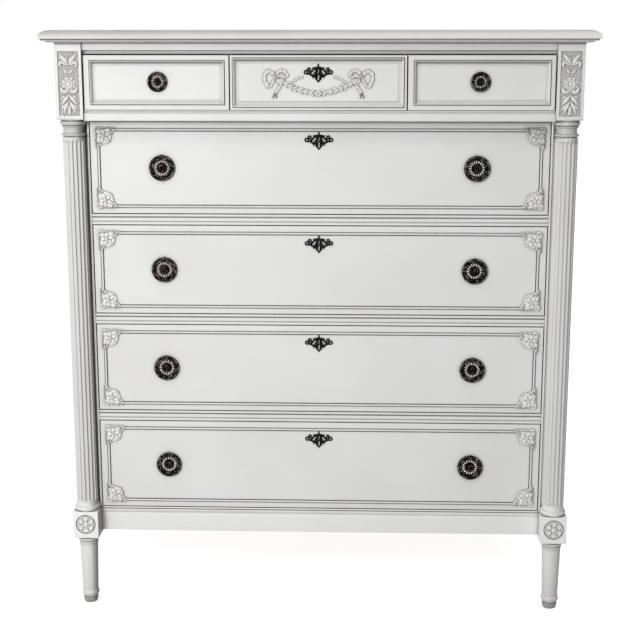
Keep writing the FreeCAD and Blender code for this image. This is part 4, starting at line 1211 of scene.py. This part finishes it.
# ---------------------------------------------------------------- escutcheons
TALL = (1.8, 2.1, 1.8)
ARM = (
    # Upper edge of the arm: shoulder, slope and the leaf that stands on it.
    (((0, 8.4), (4.6, 9.2), (9.4, 8.4), (11, 10.2)), (2.4, 2.2, 1.8, 0.8), TALL, 10),
    (((6.6, 7.8), (9.6, 6), (12.6, 2.6), (15.6, -0.6)), (1.8,), TALL, 10),
    (((15.2, 0), (16.8, 2.8), (18.4, 3.6)), (1.3, 1.1, 1), TALL, 6),
    # Lower edge, back to the drop, with a small point hanging from it.
    (((22.6, -1.6), (17.4, -1.8), (12.4, -4.4), (8.2, -5.2), (4.6, -4.4)),
     (1.4, 1.9, 2, 1.7, 1.6), TALL, 14),
    (((11.4, -4.6), (10.2, -7.6), (9.8, -10.4)), (2, 1.7, 0.5), TALL, 8),
    (((8.6, -3), (7.8, -0.6), (7, 1)), (1.2, 1.2, 0.6), TALL, 6),
    (((7.2, -6.2), (5.8, -8.6), (4, -9.6)), (1.3, 1.3, 1.2), TALL, 8),
    # Half of the drop, which leaves its eye open.
    (((2, -8.6), (3.6, -11.6), (1.4, -15), (0, -18)), (1.6, 1.7, 1.3, 0.5), TALL, 10),
    (((3, -11), (5.8, -11.6), (4.6, -12.6)), (0.9, 0.8, 0.5), TALL, 6),
)
# Spike, and the bridge across the slot.
UPRIGHT = (
    (((0, 8), (0, 12), (0, 17.4)), (2.8, 1.9, 1), (1.9, 1.8, 1.4), 8),
    (((-2.6, -3.2), (0, -2.4), (2.6, -3.2)), (1.3, 1.1, 1.3), (1.8, 2, 1.8), 6),
)
SLOT = ((0, 8), (0.7, 4.6), (-0.6, 0.4), (0.6, -4), (0, -8.6))


def build_escutcheon(name, face_y):
    """Pierced plate: a shield split by an S-shaped slot, scrolled arms with loops, a spike and a drop."""
    z = Box(name + "_escutcheon").z1 - 17
    shape = Shape()
    for sx in (1, -1):
        place = on_front(0, z, face_y, sx)
        strokes(shape, place, ARM)
        for u, v, r in ((23.9, 1.2, 3.2), (18.2, 6.4, 2.7)):
            loop = [(u + r * c, v + r * s) for c, s in circle(12)]
            stroke(shape, place, loop + loop[:1], (1.35,), (1.9,), ROUND, 24)
    place = on_front(0, z, face_y)
    strokes(shape, place, UPRIGHT)
    for side in (1, -1):
        path = [(side * 3.6 + bend, v) for bend, v in SLOT]
        stroke(shape, place, path, (3.4, 2.7, 2.7, 2.5, 2.2), (1.9, 2.5, 2.6, 2.3, 1.8), ROUND, 16)
    carved(name + "_scrolls", shape, BLACKENED, name, name + "_escutcheon")


# ---------------------------------------------------------------- plain timber
def build_carcass():
    """Pieces whose CAD shape is right already, with eased edges and their own timber or paint."""
    softened("side_panels", PAINT_Z, "case", 1.2)
    softened("rear_posts", PAINT_Z, "case", 1.2)
    softened("back_panel", BOARD, "case", 0.5)
    for node, timber in (("rear_rails", BARE_X), ("dust_board", BARE_X), ("frieze_dividers", BARE_Y),
                         ("drawer_runners", BARE_Y), ("drawer_guides", BARE_Y), ("drawer_stops", BARE_X)):
        softened(node, timber, "case")
    for name in LARGE_NAMES + SMALL_NAMES:
        softened(name + "_box", BARE_BOX, name)
        softened(name + "_bottom", BOARD, name, 0.4)


# ---------------------------------------------------------------- stage
CAMERA_PLACE = (88.2, POST.y0 - 2493.5, 1126.5)
CAMERA_DOWN = 11.614            # degrees
CAMERA_TURN = 1.945
CAMERA_LENS = 72
SENSOR = 36
FLOOR_HALF = 9
FLOOR_SHOWN = 0.6
FLOOR_GLOW = 0.84
FLOOR_BOUNCE = 0.36
WORLD_TOWARD = (-0.55, -0.4, 0.73)      # where the room is brightest
WORLD_BRIGHT = 0.7
WORLD_DIM = 0.06
LAMP_PLACE = (-0.95, -2.3, 1.2)
LAMP_TARGET = (0, -0.2, 0.55)
LAMP_SIZE = (0.6, 0.9)
LAMP_POWER = 31


def put_in_scene(name, data):
    obj = bpy.data.objects.new(name, data)
    bpy.context.scene.collection.objects.link(obj)
    return obj


def set_camera():
    data = bpy.data.cameras.new("camera")
    data.lens = CAMERA_LENS
    data.sensor_width = SENSOR
    data.clip_end = 50
    camera = put_in_scene("camera", data)
    camera.location = [c * MM for c in CAMERA_PLACE]
    camera.rotation_euler = (math.radians(90 - CAMERA_DOWN), 0, math.radians(CAMERA_TURN))
    bpy.context.scene.camera = camera


def seen_directly(n):
    """1 for rays from the camera, and for gloss and glass that show the backdrop. 0 for lighting."""
    ray = n.add("ShaderNodeLightPath").outputs
    first = n.math("MAXIMUM", ray["Is Camera Ray"], ray["Is Glossy Ray"])
    return n.math("MAXIMUM", first, ray["Is Transmission Ray"])


def set_floor():
    """Pale floor that keeps the soft shadow, and sends little light back up."""
    mesh = bpy.data.meshes.new("floor")
    h = FLOOR_HALF
    mesh.from_pydata([(-h, -h, 0), (h, -h, 0), (h, h, 0), (-h, h, 0)], [], [(0, 1, 2, 3)])
    put_in_scene("floor", mesh)
    n = Nodes(bpy.data.materials.new("floor"))
    n.tree.nodes.clear()
    shown = n.add("ShaderNodeBsdfDiffuse", {"Color": [FLOOR_SHOWN] * 3}).outputs[0]
    glow = n.add("ShaderNodeEmission", {"Strength": FLOOR_GLOW}).outputs[0]
    both = n.add("ShaderNodeAddShader", {0: shown, 1: glow}).outputs[0]
    dim = n.add("ShaderNodeBsdfDiffuse", {"Color": [FLOOR_BOUNCE] * 3}).outputs[0]
    pick = n.add("ShaderNodeMixShader", {0: seen_directly(n), 1: dim, 2: both}).outputs[0]
    n.add("ShaderNodeOutputMaterial", {"Surface": pick})
    mesh.materials.append(n.owner)


def set_world():
    """White to look at. Its light comes mostly from the upper left, as from a window."""
    world = bpy.data.worlds.new("studio")
    bpy.context.scene.world = world
    n = Nodes(world)
    toward = n.dot(n.add("ShaderNodeTexCoord").outputs["Generated"], WORLD_TOWARD)
    level = n.span(toward, -0.35, 0.75, WORLD_DIM, WORLD_BRIGHT)
    strength = n.add("ShaderNodeMix", {"Factor": seen_directly(n), "A": level, "B": 1}).outputs["Result"]
    background = n.tree.nodes["Background"]
    n.wire((1, 1, 1), background.inputs["Color"])
    n.wire(strength, background.inputs["Strength"])


def set_lamp():
    data = bpy.data.lights.new("lamp_0", "AREA")
    data.shape = "RECTANGLE"
    data.size, data.size_y = LAMP_SIZE
    data.energy = LAMP_POWER
    lamp = put_in_scene("lamp_0", data)
    lamp.location = LAMP_PLACE
    lamp.rotation_euler = (Vector(LAMP_TARGET) - Vector(LAMP_PLACE)).to_track_quat("-Z", "Y").to_euler()


# ---------------------------------------------------------------- everything
def build_chest():
    build_top()
    build_posts()
    build_rails()
    build_stiles()
    build_carcass()
    for name in LARGE_NAMES:
        build_large_front(name)
        build_corners(name)
        build_large_pulls(name)
        build_escutcheon(name, LOWER_FACE)
    for name in SMALL_NAMES:
        build_small_front(name)
    build_small_pull("small_left", -PULL_X)
    build_small_pull("small_right", PULL_X)
    build_garland()
    build_escutcheon("small_centre", FIELD_FACE)


set_camera()
set_floor()
set_world()
set_lamp()
bpy.context.scene.view_settings.view_transform = "Standard"
build_chest()
